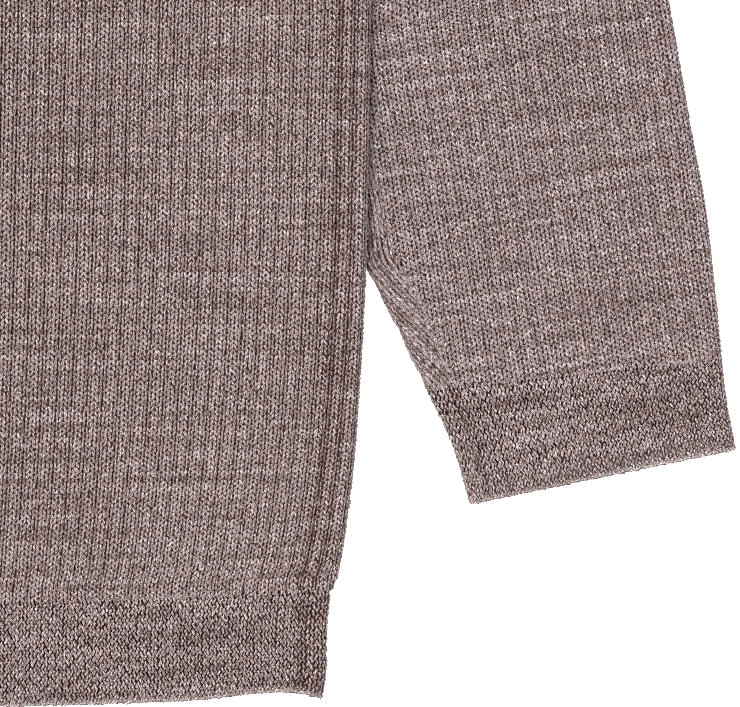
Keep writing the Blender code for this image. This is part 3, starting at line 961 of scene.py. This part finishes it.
def other_side(legs):
    """The mirror image of some legs."""
    points = legs["points"][:, MIRRORED_POINTS] * (-1.0, 1.0, 1.0)
    return {**legs, "points": points, "fabric": legs["fabric"] * (-1.0, 1.0, 1.0)}


def add_attribute(data, name, kind, values):
    attribute = data.attributes.new(name, kind, "POINT")
    key = "vector" if kind == "FLOAT_VECTOR" else "value"
    attribute.data.foreach_set(key, np.asarray(values, np.float32).ravel())


def yarn_piece(name, legs, material, seed):
    """One mesh of all these legs, with what its material reads stored on the points."""
    count = len(legs["points"])
    per_leg = len(LEG_POINTS)
    points = to_frame(legs["points"]).reshape(-1, 3)
    faces = (np.array(LEG_FACES)[None] + (np.arange(count) * per_leg)[:, None, None]).reshape(-1, 3)
    data = bpy.data.meshes.new(name)
    data.vertices.add(len(points))
    data.vertices.foreach_set("co", points.astype(np.float32).ravel())
    data.loops.add(faces.size)
    data.loops.foreach_set("vertex_index", faces.astype(np.int32).ravel())
    data.polygons.add(len(faces))
    data.polygons.foreach_set("loop_start", np.arange(0, faces.size, 3, dtype=np.int32))
    data.update(calc_edges=True)
    data.shade_smooth()

    fabric = legs["fabric"] + (0.0, 0.0, seed)
    add_attribute(data, "fabric", "FLOAT_VECTOR", np.repeat(fabric, per_leg, axis=0))
    for key in ("tone", "shade"):
        add_attribute(data, key, "FLOAT", np.repeat(legs[key], per_leg))
    spots = [(p.side, p.along, p.ridge) for p in LEG_POINTS]
    add_attribute(data, "spot", "FLOAT_VECTOR", np.tile(spots, (count, 1)))
    low, high = points.min(axis=0), points.max(axis=0)
    flat = (points[:, :2] - low[:2]) / max(high[0] - low[0], high[1] - low[1])
    uv = data.uv_layers.new(name="OFBake")
    uv.data.foreach_set("uv", flat[faces.ravel()].astype(np.float32).ravel())
    data.materials.append(material)
    return in_scene(name, data)


# ---------------------------------------------------------------- where the body and the bands have stitches


def side_fold(half_width_at):
    """The body's fold, by its half width at x, y."""

    def fold(points):
        x, y = points.T
        return half_width_at(x, y) - x, np.tile((1.0, 0.0), (len(points), 1))

    return fold


def tube_fold(outer_fold, inner_fold, inner_top=np.inf):
    """The nearer of a tube's two folds. Above inner_top there is only the outer one."""

    def fold(points):
        outer_depth, outer_out = outer_fold.measure(points)
        inner_left, inner_out = inner_fold.measure(points)
        inner_depth = np.where(points[:, 1] > inner_top, np.inf, -inner_left)
        nearer_inner = inner_depth < outer_depth
        depth = np.where(nearer_inner, inner_depth, outer_depth)
        return depth, np.where(nearer_inner[:, None], -inner_out, outer_out)

    return fold


def body_place(wale, course):
    height = HEM_HEIGHT - LINK + BODY_COURSE * course
    closing = 1.0 + SEAM_GAP / seam_half_width(height)
    front = closing * front_x(height, np.minimum(1.0, wale / BODY_WALES))
    wrap = side_half_width(height) - BODY_SEAM_INSET + (wale - BODY_WALES) * WRAP_WALE
    x = np.where(wale <= BODY_WALES, front, wrap)
    return np.stack([x, body_height(x, height)], axis=1)


def body_region(side):
    def keep(points):
        x, y = points.T
        side_top = np.where(x < SEAM_TOP.half_width, SEAM_TOP.height, armhole_height(x))
        below_underarm = y < side_top - ARMHOLE_MARGIN
        above_seam = y >= SEAM_TOP.height - ARMHOLE_MARGIN
        inside_armhole = above_seam & (x < armhole_half_width(y) - ARMHOLE_MARGIN)
        return (below_underarm | inside_armhole) & (y < top_line(x, FRONT_NECK_DROP) - TOP_MARGIN)

    return Region(
        wales=(0, BODY_WALES + WRAP_WALES),
        courses=(0, int((SHOULDER_HEIGHT - HEM_HEIGHT) / BODY_COURSE) + 1),
        place=body_place,
        leg=BODY_LEG,
        relief=body_relief,
        shade=body_shade,
        fold=side_fold(lambda x, y: side_half_width(y)),
        raised=front_raised(side),
        keep=keep,
    )


def inside_back_region():
    """The inside of the back, which shows through the neck."""
    lowest = 290.0
    neck_side = NECK_HALF_WIDTH - 4.0

    def keep(points):
        x, y = points.T
        return (x < neck_side) & (y < top_line(x, BACK_NECK_DROP) - TOP_MARGIN)

    first, last = (int((height - HEM_HEIGHT) / BODY_COURSE) for height in (lowest, SHOULDER_HEIGHT))
    return Region(
        wales=(0, INSIDE_WALES),
        courses=(first, last),
        place=body_place,
        leg=BODY_LEG,
        relief=level,
        keep=keep,
        face=INSIDE_FACE,
    )


def hem_region():
    def place(wale, course):
        height = (HEM_HEIGHT + LINK) * course / HEM_COURSES
        seam = hem_half_width(height) - HEM_SEAM_INSET
        wrap = seam + (wale - HEM_WALES) * HEM_WRAP_WALE
        x = np.where(wale <= HEM_WALES, wale / HEM_WALES * seam, wrap)
        return np.stack([x, hem_height(x, height)], axis=1)

    return Region(
        wales=(0, HEM_WALES + HEM_WRAP_WALES),
        courses=(0, HEM_COURSES),
        place=place,
        leg=BAND_LEG,
        relief=hem_relief,
        shade=hem_shade,
        fold=side_fold(lambda x, y: hem_half_width(y - hem_line(x))),
    )


CUFF_SEAM_INSETS = ((0.0, 0.5, 1.0), (4.2, 5.4, 6.7))  # shares of the way up the cuff, and the insets there


def cuff_region():
    def place(wale, course):
        share = course / CUFF_COURSES
        outer, _ = CUFF_OUTER.at(share * (CUFF_OUTER.length + 2 * LINK))
        inner, _ = CUFF_INNER.at(share * (CUFF_INNER.length + 2 * LINK))
        across = inner - outer
        width = np.hypot(*across.T)
        inset = np.interp(share, *CUFF_SEAM_INSETS)
        wrap = width - inset + (wale - CUFF_WALES) * inset / CUFF_WRAP_WALES
        depth = np.where(wale <= CUFF_WALES, wale / CUFF_WALES * (width - inset), wrap)
        return outer + across * (depth / width)[:, None]

    return Region(
        wales=(-2, CUFF_WALES + CUFF_WRAP_WALES + 2),
        courses=(0, CUFF_COURSES),
        place=place,
        leg=CUFF_LEG,
        relief=cuff_relief,
        shade=cuff_shade,
        fold=tube_fold(CUFF_OUTER, CUFF_INNER),
    )


NECK_SIDE = Line([(NECK_HALF_WIDTH - SEAM_GAP, SHOULDER_HEIGHT + SEAM_GAP), (48.7, 344.3)])


def neckband_region(is_front):
    def place(wale, course):
        row = neck_row(course / NECKBAND_COURSES)
        drop = row.front_drop if is_front else row.back_drop
        x = row.half_width * np.interp(wale / NECK_WALES, NECK_REACHED, NECK_SHARES)
        return np.stack([x, neck_curve(x, row.half_width, row.side_height, drop)], axis=1)

    return Region(
        wales=(0, NECK_WALES),
        courses=(0, NECKBAND_COURSES),
        place=place,
        leg=BAND_LEG,
        relief=one_wale_relief if is_front else level,
        fold=NECK_SIDE.measure if is_front else no_fold,
        face=UPPER_FACE if is_front else INSIDE_FACE,
    )


# ---------------------------------------------------------------- where the sleeve has stitches

# The sleeve's courses start on its outer edge and run inward. They are parallel up to the chest and then
# turn until the last lies along the armhole.
SpinePoint = namedtuple("SpinePoint", "x y inward_angle")
SLEEVE_SPINE = (
    SpinePoint(222.8, 87.8, 189.4),
    SpinePoint(219.9, 105.5, 189.4),
    SpinePoint(216.0, 129.1, 189.4),
    SpinePoint(212.1, 152.6, 189.4),
    SpinePoint(207.3, 181.5, 190.5),
    SpinePoint(201.5, 226.0, 213.0),
    SpinePoint(190.5, 258.0, 230.0),
    SpinePoint(175.5, 283.5, 245.0),
    SpinePoint(158.5, 301.0, 257.5),
    SpinePoint(142.0, 311.5, 267.0),
    SpinePoint(127.3, 316.2, 274.5),
)
SPINE_REACHED = Line.lengths(np.array(SLEEVE_SPINE)[:, :2])
SPINE_LENGTH = SPINE_REACHED[-1]
spine_x, spine_y, spine_angle = (Curve(SPINE_REACHED, column) for column in zip(*SLEEVE_SPINE))
PAST_SPINE = 12.0  # the hollow of the armhole takes more courses
CROWDED = 1.4

# Beside its inner fold the sleeve's ribs turn and run down to the seam at a slant. This is the rib line
# that meets the seam's top, and how far apart the wales are on the level, left of it
TurnPoint = namedtuple("TurnPoint", "x y wale_size")
TURNED_LINE = (
    TurnPoint(131.0, 177.0, 2.25),
    TurnPoint(134.0, 144.5, 2.25),
    TurnPoint(138.0, 127.8, 2.25),
    TurnPoint(139.8, 117.8, 2.3),
    TurnPoint(140.9, 113.8, 2.7),
    TurnPoint(142.5, 110.8, 2.9),
    TurnPoint(145.0, 108.0, 3.0),
    TurnPoint(160.0, 93.0, 3.0),
    TurnPoint(178.0, 75.0, 3.0),
)
TURN_END = TURNED_LINE[0].y
SEAM_START = TURNED_LINE[5].y
turned_line = Line([(p.x, p.y) for p in TURNED_LINE])
turned_wale_size = Curve(*columns_of(TURNED_LINE[::-1], "y", "wale_size"))
TURNED_WALES = 14
TURNED_COURSE = 1.4
TURNED_LAP = 0.45  # how far the two kinds of stitches reach over the line
FIELD_SEAM_LAP = 0.2  # and over the seam
TURNED_SEAM_LAP = 0.3

# The seam's inset from the inner fold, over the height of the fold beside it
SEAM_INSETS = [(r.inner_y, r.seam_inset) for r in SLEEVE_ROWS[:3:-1]] + [(UNDERARM_HEIGHT + 0.5, 12.0)]
sleeve_seam_inset = Curve(*zip(*SEAM_INSETS))
CUFF_JOINT = ((149.0, 222.9), (79.9, 87.8))  # x and y of its two ends
CUFF_JOINT_LAP = 0.3
ARMHOLE_SEAM = -0.6  # stitches of the sleeve end this far outside the armhole's edge
HIDDEN_INSET = 7.0  # no stitch can be seen this far under the side of the body, between these heights
HIDDEN_FROM = 112.0
HIDDEN_TO = UNDERARM_HEIGHT - 4


def sleeve_place(wale, course):
    depth, along = wale * SLEEVE_WALE, course * SLEEVE_COURSE
    angle = np.radians(spine_angle(along))
    beyond = np.minimum(0.0, along) + np.maximum(0.0, along - SPINE_LENGTH)
    x = spine_x(along) + depth * np.cos(angle) + beyond * np.sin(angle)
    y = spine_y(along) + depth * np.sin(angle) - beyond * np.cos(angle)
    return np.stack([x, y], axis=1)


def turned_place(wale, course):
    """Wales are counted to the left of the line, and courses lie square to it."""
    down = turned_line.length - course * TURNED_COURSE
    point, direction = turned_line.at(down)
    wale_size = turned_wale_size(point[..., 1])
    point, direction = turned_line.at(down + wale * wale_size * direction[..., 0])
    return point - np.stack([wale * turned_wale_size(point[..., 1]), np.zeros(np.shape(wale))], axis=1)


def beyond_turned(points):
    """How far each point lies beyond the turned stitches, which end at the seam low down and at the line
    above it, and whether it is low down."""
    x, y = points.T
    beyond_seam = -SLEEVE_INNER.measure(points)[0] - sleeve_seam_inset(y)
    beyond_line = x - np.interp(y, turned_line.points[::-1, 1], turned_line.points[::-1, 0])
    is_low = y < SEAM_START
    return np.where(is_low, beyond_seam, beyond_line), is_low


def in_view(points):
    """Above the cuff, and not well under the side of the body."""
    x, y = points.T
    hidden = (x < side_half_width(y) - HIDDEN_INSET) & (y < HIDDEN_TO) & (y > HIDDEN_FROM)
    return (y > np.interp(x, *CUFF_JOINT) - CUFF_JOINT_LAP) & ~hidden


def sleeve_field():
    def keep(points):
        y = points[:, 1]
        beyond, is_low = beyond_turned(points)
        in_field = (beyond > -np.where(is_low, FIELD_SEAM_LAP, TURNED_LAP)) | (y >= TURN_END)
        outside_armhole = (armhole_line.measure(points)[0] < ARMHOLE_SEAM) | (y < UNDERARM_HEIGHT)
        return in_field & outside_armhole & in_view(points)

    return Region(
        wales=SLEEVE_WALES,
        courses=(-2, int((SPINE_LENGTH + PAST_SPINE) / SLEEVE_COURSE)),
        place=sleeve_place,
        leg=SLEEVE_LEG,
        relief=sleeve_relief,
        shade=sleeve_shade,
        fold=tube_fold(SLEEVE_OUTER, SLEEVE_INNER, UNDERARM_HEIGHT),
        raised=sleeve_raised,
        keep=keep,
        crowded=CROWDED,
    )


def turned_region():
    def keep(points):
        beyond, is_low = beyond_turned(points)
        return (beyond < np.where(is_low, TURNED_SEAM_LAP, TURNED_LAP)) & in_view(points)

    def fold(points):
        left, outward = SLEEVE_INNER.measure(points)
        return -left, -outward

    return Region(
        wales=(0, TURNED_WALES),
        courses=(0, int(turned_line.length / TURNED_COURSE)),
        place=turned_place,
        leg=TURNED_LEG,
        relief=turned_relief,
        shade=turned_shade,
        fold=fold,
        raised=sleeve_raised,
        keep=keep,
    )


# Where the sleeve was made narrower, three short stitches lie over the others
DECREASES = ((146.2, 104.0), (149.4, 96.6), (152.6, 91.2), (154.2, 85.4))
DECREASE_LEAN = math.radians(52.0)
DECREASE_LENGTH = 2.5
DECREASE_STEP = 1.05
DECREASE_STRAY = 0.08


def decrease_legs(rng):
    up = np.array([math.cos(DECREASE_LEAN), math.sin(DECREASE_LEAN)])
    across = np.array([up[1], -up[0]])
    steps = np.array([-1.0, 0.0, 1.0])[:, None] * DECREASE_STEP * across
    middles = (np.array(DECREASES)[:, None] + steps).reshape(-1, 2)
    middles = middles + rng.normal(0.0, DECREASE_STRAY, middles.shape)
    reach = up * DECREASE_LENGTH / 2
    numbers = np.arange(len(middles), dtype=float)
    region = turned_region()._replace(
        keep=everywhere, relief=profile(0.3), shade=profile(0.05), leg=DECREASE_LEG
    )
    return legs_between(region, middles - reach, middles + reach, numbers, numbers, numbers, rng)


def sleeve_legs(rng):
    return joined([region_legs(sleeve_field(), rng), region_legs(turned_region(), rng), decrease_legs(rng)])


# ---------------------------------------------------------------- materials

YARN_STOPS = (  # the heathered yarn by its brightness on a screen: warm where dark, greyer where light
    (0.0, (0.010, 0.004, 0.003)),
    (0.12, (0.0200, 0.0065, 0.0045)),
    (0.27, (0.0635, 0.0350, 0.0300)),
    (0.43, (0.134, 0.0935, 0.0850)),
    (0.59, (0.230, 0.188, 0.180)),
    (0.745, (0.366, 0.317, 0.308)),
    (0.9, (0.534, 0.486, 0.470)),
    (1.0, (0.642, 0.594, 0.573)),
)
TINT_STOPS = (  # the fibres' casts: grey-blue, plain, pink, tan and olive
    (0.0, (0.93, 0.99, 1.05)),
    (0.42, (1.0, 1.0, 1.0)),
    (0.6, (1.06, 0.98, 0.98)),
    (0.76, (1.05, 1.0, 0.92)),
    (1.0, (0.97, 1.02, 0.9)),
)
MEAN_BRIGHTNESS = 0.49
STREAK = 0.4  # how much of the brightness comes from the yarn's slow changes of colour
STREAK_SCALE = (0.05, 0.8, 5.0)
FLECK_SCALE = (0.3, 1.31, 9.0)
LEG_TONE = 0.03
RIM_SHADE = 0.36  # painted shade: how much darker a leg is at its rim, where it dips beside and under its neighbours
RIM_SHADE_POWER = 2.6
STRAND = 1.35  # the light and dark strands across a leg
STRAND_SCALE = (2.2, 2.5, 90.0)
FIBRE = 0.75
FIBRE_SIZE = 4000.0  # fibres to a metre
FIBRE_BUMP = (0.45, 0.0002)  # strength, and depth in metres

# A kind of knit: its wale and course, the painted shade of its cloth between the stitches, and how light, how
# lively and of what tinge its yarn is
Knit = namedtuple("Knit", "wale course gap_colour light contrast cast")
# painted shade: the cloth's colour where yarn covers it, dark in the deep gaps between stitches and lighter
# in the sleeve's shallow ones
DEEP_GAP_SHADE = (0.029, 0.009, 0.007)
SHALLOW_GAP_SHADE = (0.07, 0.034, 0.028)
BODY_MEAN_WALE = 1.94
BAND_COURSE = 1.6
KNITS = {
    "body": Knit(BODY_MEAN_WALE, BODY_COURSE, DEEP_GAP_SHADE, 0.0, 0.93, (0.995, 1.0, 1.01)),
    "sleeve": Knit(SLEEVE_WALE, SLEEVE_COURSE, SHALLOW_GAP_SHADE, -0.014, 0.9, (0.985, 1.0, 1.03)),
    "hem": Knit(BAND_WALE, BAND_COURSE, DEEP_GAP_SHADE, 0.003, 1.04, (1.0, 1.0, 1.015)),
    "cuff": Knit(BAND_WALE, BAND_COURSE, DEEP_GAP_SHADE, -0.003, 1.01, (0.99, 1.0, 1.02)),
}

# The underside and the inside, where the cloth shows its own stitches: a V pattern that is also the bump,
# painted darker between the stitches as shade, over streaks of the yarn's own colour
OPEN_V = 2.6  # how steep the Vs are, in courses a wale
OPEN_STITCH = 0.5
OPEN_STREAK = 0.7
OPEN_STREAK_SCALE = (110.0, 600.0, 600.0)
OPEN_LEVEL = -0.05
OPEN_BUMP = (0.6, 0.0004)


class Look:
    """A new material and the nodes that are made for it."""

    def __init__(self, name, **surface):
        self.material = bpy.data.materials.new(name)
        self.material.use_nodes = True
        self.tree = self.material.node_tree
        self.shader = self.tree.nodes["Principled BSDF"]
        for socket, value in surface.items():
            self.shader.inputs[socket.replace("_", " ")].default_value = value

    def put(self, value, socket):
        """Sets a socket to a number or a colour, or links it to another node's output."""
        if isinstance(value, bpy.types.NodeSocket):
            self.tree.links.new(value, socket)
        else:
            socket.default_value = (*value, 1.0) if socket.type == "RGBA" else value

    def node(self, kind, *values, **settings):
        """A node with these settings, and these values on its first inputs."""
        node = self.tree.nodes.new(kind)
        for name, value in settings.items():
            setattr(node, name, value)
        for value, socket in zip(values, [socket for socket in node.inputs if socket.enabled]):
            self.put(value, socket)
        return node

    def attribute(self, name, output="Fac"):
        return self.node("ShaderNodeAttribute", attribute_name=name).outputs[output]

    def maths(self, operation, *values):
        return self.node("ShaderNodeMath", *values, operation=operation).outputs[0]

    def split(self, vector):
        return self.node("ShaderNodeSeparateXYZ", vector).outputs

    def place(self):
        return self.node("ShaderNodeTexCoord").outputs["Object"]

    def noise(self, vector, scale, detail):
        """Noise from 0 to 1 on a vector that is scaled by three numbers."""
        mapping = self.node("ShaderNodeMapping", vector)
        mapping.inputs["Scale"].default_value = scale
        texture = self.node("ShaderNodeTexNoise", mapping.outputs[0])
        texture.inputs["Scale"].default_value = 1.0
        texture.inputs["Detail"].default_value = detail
        return texture.outputs[0]

    def ramp(self, value, stops):
        node = self.node("ShaderNodeValToRGB", value)
        elements = node.color_ramp.elements
        while len(elements) < len(stops):
            elements.new(0.5)
        for element, (place, colour) in zip(elements, stops):
            element.position = place
            element.color = (*colour, 1.0)
        return node.outputs[0]

    def mix(self, kind, factor, first, second):
        node = self.node("ShaderNodeMix", factor, first, second, data_type="RGBA", blend_type=kind)
        return next(socket for socket in node.outputs if socket.enabled)

    def finish(self, colour, height, bump):
        """Gives the surface this colour, and this height as bump."""
        node = self.node("ShaderNodeBump")
        node.inputs["Strength"].default_value, node.inputs["Distance"].default_value = bump
        self.put(height, node.inputs["Height"])
        self.put(node.outputs[0], self.shader.inputs["Normal"])
        self.put(colour, self.shader.inputs["Base Color"])
        return self.material


WOOL = {"Roughness": 0.92, "Specular_IOR_Level": 0.18, "Sheen_Weight": 0.15, "Sheen_Roughness": 0.45}


def yarn_material(slot):
    """Heathered yarn."""
    knit = KNITS[slot]
    look = Look(slot + "_yarn", **WOOL)
    fabric = look.attribute("fabric", "Vector")
    tone = look.attribute("tone")
    side, along, ridge = look.split(look.attribute("spot", "Vector"))
    streak = look.noise(fabric, STREAK_SCALE, 2.0)
    fleck = look.noise(fabric, FLECK_SCALE, 1.0)
    fibre = look.noise(look.place(), (FIBRE_SIZE,) * 3, 0.0)
    on_strand = look.node("ShaderNodeCombineXYZ", side, along, tone).outputs[0]
    strand = look.noise(on_strand, STRAND_SCALE, 1.0)
    # painted shade towards each leg's rim, from its ridge value
    rim = look.maths("POWER", look.maths("SUBTRACT", 1.0, ridge), RIM_SHADE_POWER)

    parts = (  # how much each counts, and its mean
        (STREAK, streak, 0.5),
        (LEG_TONE, tone, 0.5),
        (-RIM_SHADE * knit.contrast, rim, 1.0 / (RIM_SHADE_POWER + 1.0)),
        (STRAND * knit.contrast, strand, 0.5),
        (FIBRE * knit.contrast, fibre, 0.5),
    )
    middle = MEAN_BRIGHTNESS + knit.light - sum(share * mean for share, _, mean in parts)
    # the painted shade of the grooves and seams, which each leg carries, comes in here
    bright = look.maths("ADD", look.attribute("shade"), middle)
    for share, value, _ in parts:
        bright = look.maths("MULTIPLY_ADD", value, share, bright)
    colour = look.mix("MULTIPLY", 1.0, look.ramp(bright, YARN_STOPS), look.ramp(fleck, TINT_STOPS))
    return look.finish(look.mix("MULTIPLY", 1.0, colour, knit.cast), fibre, FIBRE_BUMP)


def cloth_material(slot):
    """The cloth under the yarn: painted shade, a dark colour between the stitches, and the same knit in
    colour and bump where it lies open, on the underside and the inside, painted darker between its stitches
    there too."""
    knit = KNITS[slot]
    look = Look(slot + "_cloth", **WOOL)
    place = look.place()
    x, y, _ = look.split(place)
    wales = look.maths("DIVIDE", x, knit.wale * MM)
    courses = look.maths("DIVIDE", y, knit.course * MM)
    across = look.maths("ABSOLUTE", look.maths("SUBTRACT", look.maths("FRACT", wales), 0.5))
    slanted = look.maths("SUBTRACT", courses, look.maths("MULTIPLY", across, OPEN_V))
    wave = look.maths("SINE", look.maths("MULTIPLY", slanted, 2 * math.pi))
    column = look.maths("MAXIMUM", look.maths("SINE", look.maths("MULTIPLY", across, 2 * math.pi)), 0.0)
    stitch = look.maths("MULTIPLY", look.maths("MULTIPLY_ADD", wave, 0.5, 0.5), column)
    streak = look.maths("MULTIPLY", look.noise(place, OPEN_STREAK_SCALE, 3.0), OPEN_STREAK)
    # the stitches' V pattern paints shade between the stitches, and the streaks are the yarn's own colour
    shade = look.maths("MULTIPLY_ADD", stitch, OPEN_STITCH, streak)
    open_colour = look.ramp(look.maths("ADD", shade, OPEN_LEVEL), YARN_STOPS)
    colour = look.mix("MIX", look.attribute("covered"), open_colour, knit.gap_colour)
    return look.finish(colour, stitch, OPEN_BUMP)


# ---------------------------------------------------------------- the garment

LOWER_BODY = 178.0  # the body's yarn is cut here into two pieces a side
YARN_SEEDS = {"body": 1, "inside": 2, "hem": 3, "sleeve": 4, "cuff": 5, "neckband": 6}
LEFT_SEED = 50
NECKBAND_EDGE_COURSE = NECKBAND_COURSES - 0.4


def slot_of(name):
    """The material slot of a node or a kind of yarn."""
    word = name.split("_")[0]
    return {"neckband": "hem", "inside": "body"}.get(word, word)


def yarn_pieces(kind, legs_of_side, material, cut=None):
    """The yarn of a region and its mirror, in two pieces a side where it is cut at a height."""
    pieces = []
    seed = YARN_SEEDS[kind]
    for side, word in SIDES:
        legs = legs_of_side(side, np.random.default_rng(SEED + seed + (LEFT_SEED if side < 0 else 0)))
        if side < 0:
            legs = other_side(legs)
        chosen = {"": np.full(len(legs["tone"]), True)}
        if cut:
            is_low = legs["points"][:, 0, 1] < cut
            chosen = {"_1": is_low, "_2": ~is_low}
        for suffix, rows in chosen.items():
            part = {key: values[rows] for key, values in legs.items()}
            pieces.append(yarn_piece(f"{kind}_yarn_{word}{suffix}", part, material, seed))
    for piece in pieces:
        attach(piece, "root")
        slot_of(kind)
    return pieces


def cloth_shells():
    shells = {"body_back": body_back_shell(), "body_front": body_front_shell()}
    shells.update(hem_shells())
    shells["neckband"] = neckband_shell()
    sleeve_table = finer_rows(SLEEVE_ROWS, SLEEVE_SHELL_ROWS)
    cuff_table = finer_rows(CUFF_ROWS, CUFF_SHELL_ROWS)
    for side, word in SIDES:
        shells["sleeve_" + word] = tube_shell(
            "sleeve_" + word, sleeve_table, side, SLEEVE_WALE, sunk_plain, sleeve_raised
        )
        shells["cuff_" + word] = tube_shell(
            "cuff_" + word, cuff_table, side, BAND_WALE, one_wale_relief, not_raised, (len(cuff_table) - 1,)
        )
    materials = {slot: cloth_material(slot) for slot in KNITS}
    for node, piece in shells.items():
        piece.data.materials.append(materials[slot_of(node)])
        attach(piece, "root")
        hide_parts(node)
        slot_of(node)
    return shells


def neckband_legs(rng):
    return joined([band_legs(neckband_region(front), NECKBAND_EDGE_COURSE, rng) for front in (True, False)])


def garment():
    shells = cloth_shells()
    legs = {
        "body": lambda side, rng: region_legs(body_region(side), rng),
        "inside": lambda side, rng: region_legs(inside_back_region(), rng),
        "hem": lambda side, rng: band_legs(hem_region(), 0, rng),
        "sleeve": lambda side, rng: sleeve_legs(rng),
        "cuff": lambda side, rng: band_legs(cuff_region(), 0, rng),
        "neckband": lambda side, rng: neckband_legs(rng),
    }
    materials = {slot: yarn_material(slot) for slot in KNITS}
    yarn = {
        kind: yarn_pieces(kind, made, materials[slot_of(kind)], LOWER_BODY if kind == "body" else None)
        for kind, made in legs.items()
    }
    sheets = (
        ("body_front", (0.262, 0.306), yarn["body"], 0.072),
        ("body_back", (0.286, 0.306), yarn["inside"], None),
        ("hem_front", (0.237, 0.0262), yarn["hem"], None),
        ("hem_back", (0.265, 0.0262), [], None),
        ("neckband", (0.29, 0.018), yarn["neckband"], None),
        ("sleeve_right", (0.20, 0.2), yarn["sleeve"][:1], None),
        ("sleeve_left", (0.20, 0.2), yarn["sleeve"][1:], None),
        ("cuff_right", (0.145, 0.027), yarn["cuff"][:1], None),
        ("cuff_left", (0.145, 0.027), yarn["cuff"][1:], None),
    )
    for node, flat, pieces, area in sheets:
        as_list(pieces)


# ---------------------------------------------------------------- floor, light and camera

CAMERA_X = 134.75  # the middle of the photograph, in the layout
CAMERA_Y = 88.65
CAMERA_HEIGHT = 513.9 + UPPER_FACE
LENS = 100.0
SENSOR = 36.0
PIXEL_FILTER = 0.8
FLOOR_HALF_SIZE = 3.0
FLOOR_DROP = 0.0002
WORLD_STRENGTH = 1.1
KEY_STRENGTH = 3.0
KEY_ANGLE = math.radians(28.0)
KEY_DIRECTION = (0.6, -0.55, -1.3)


def floor():
    data = bpy.data.meshes.new("floor")
    half = FLOOR_HALF_SIZE
    corners = [(x, y, -FLOOR_DROP) for x, y in ((-half, -half), (half, -half), (half, half), (-half, half))]
    data.from_pydata(corners, [], [(0, 1, 2, 3)])
    look = Look("floor_white", Roughness=0.9, Specular_IOR_Level=0.0, Emission_Strength=0.7)
    look.put((0.9, 0.9, 0.9), look.shader.inputs["Base Color"])
    look.put((1.0, 1.0, 1.0), look.shader.inputs["Emission Color"])
    data.materials.append(look.material)
    in_scene("floor", data)


def lights():
    world = bpy.data.worlds.new("studio")
    bpy.context.scene.world = world
    world.use_nodes = True
    background = world.node_tree.nodes["Background"]
    background.inputs["Color"].default_value = (1.0, 1.0, 1.0, 1.0)
    background.inputs["Strength"].default_value = WORLD_STRENGTH
    key = bpy.data.lights.new("key", "SUN")
    key.energy = KEY_STRENGTH
    key.angle = KEY_ANGLE
    in_scene("key", key).rotation_euler = Vector(KEY_DIRECTION).to_track_quat("-Z", "Y").to_euler()


def camera():
    data = bpy.data.cameras.new("camera")
    data.lens = LENS
    data.sensor_width = SENSOR
    eye = in_scene("camera", data)
    eye.location = (CAMERA_X * MM, CAMERA_Y * MM + HEM_IN_FRAME, CAMERA_HEIGHT * MM)
    bpy.context.scene.camera = eye


floor()
lights()
camera()
garment()
bpy.context.scene.view_settings.view_transform = "Standard"
bpy.context.scene.cycles.use_denoising = False
bpy.context.scene.cycles.filter_width = PIXEL_FILTER
bpy.context.view_layer.update()
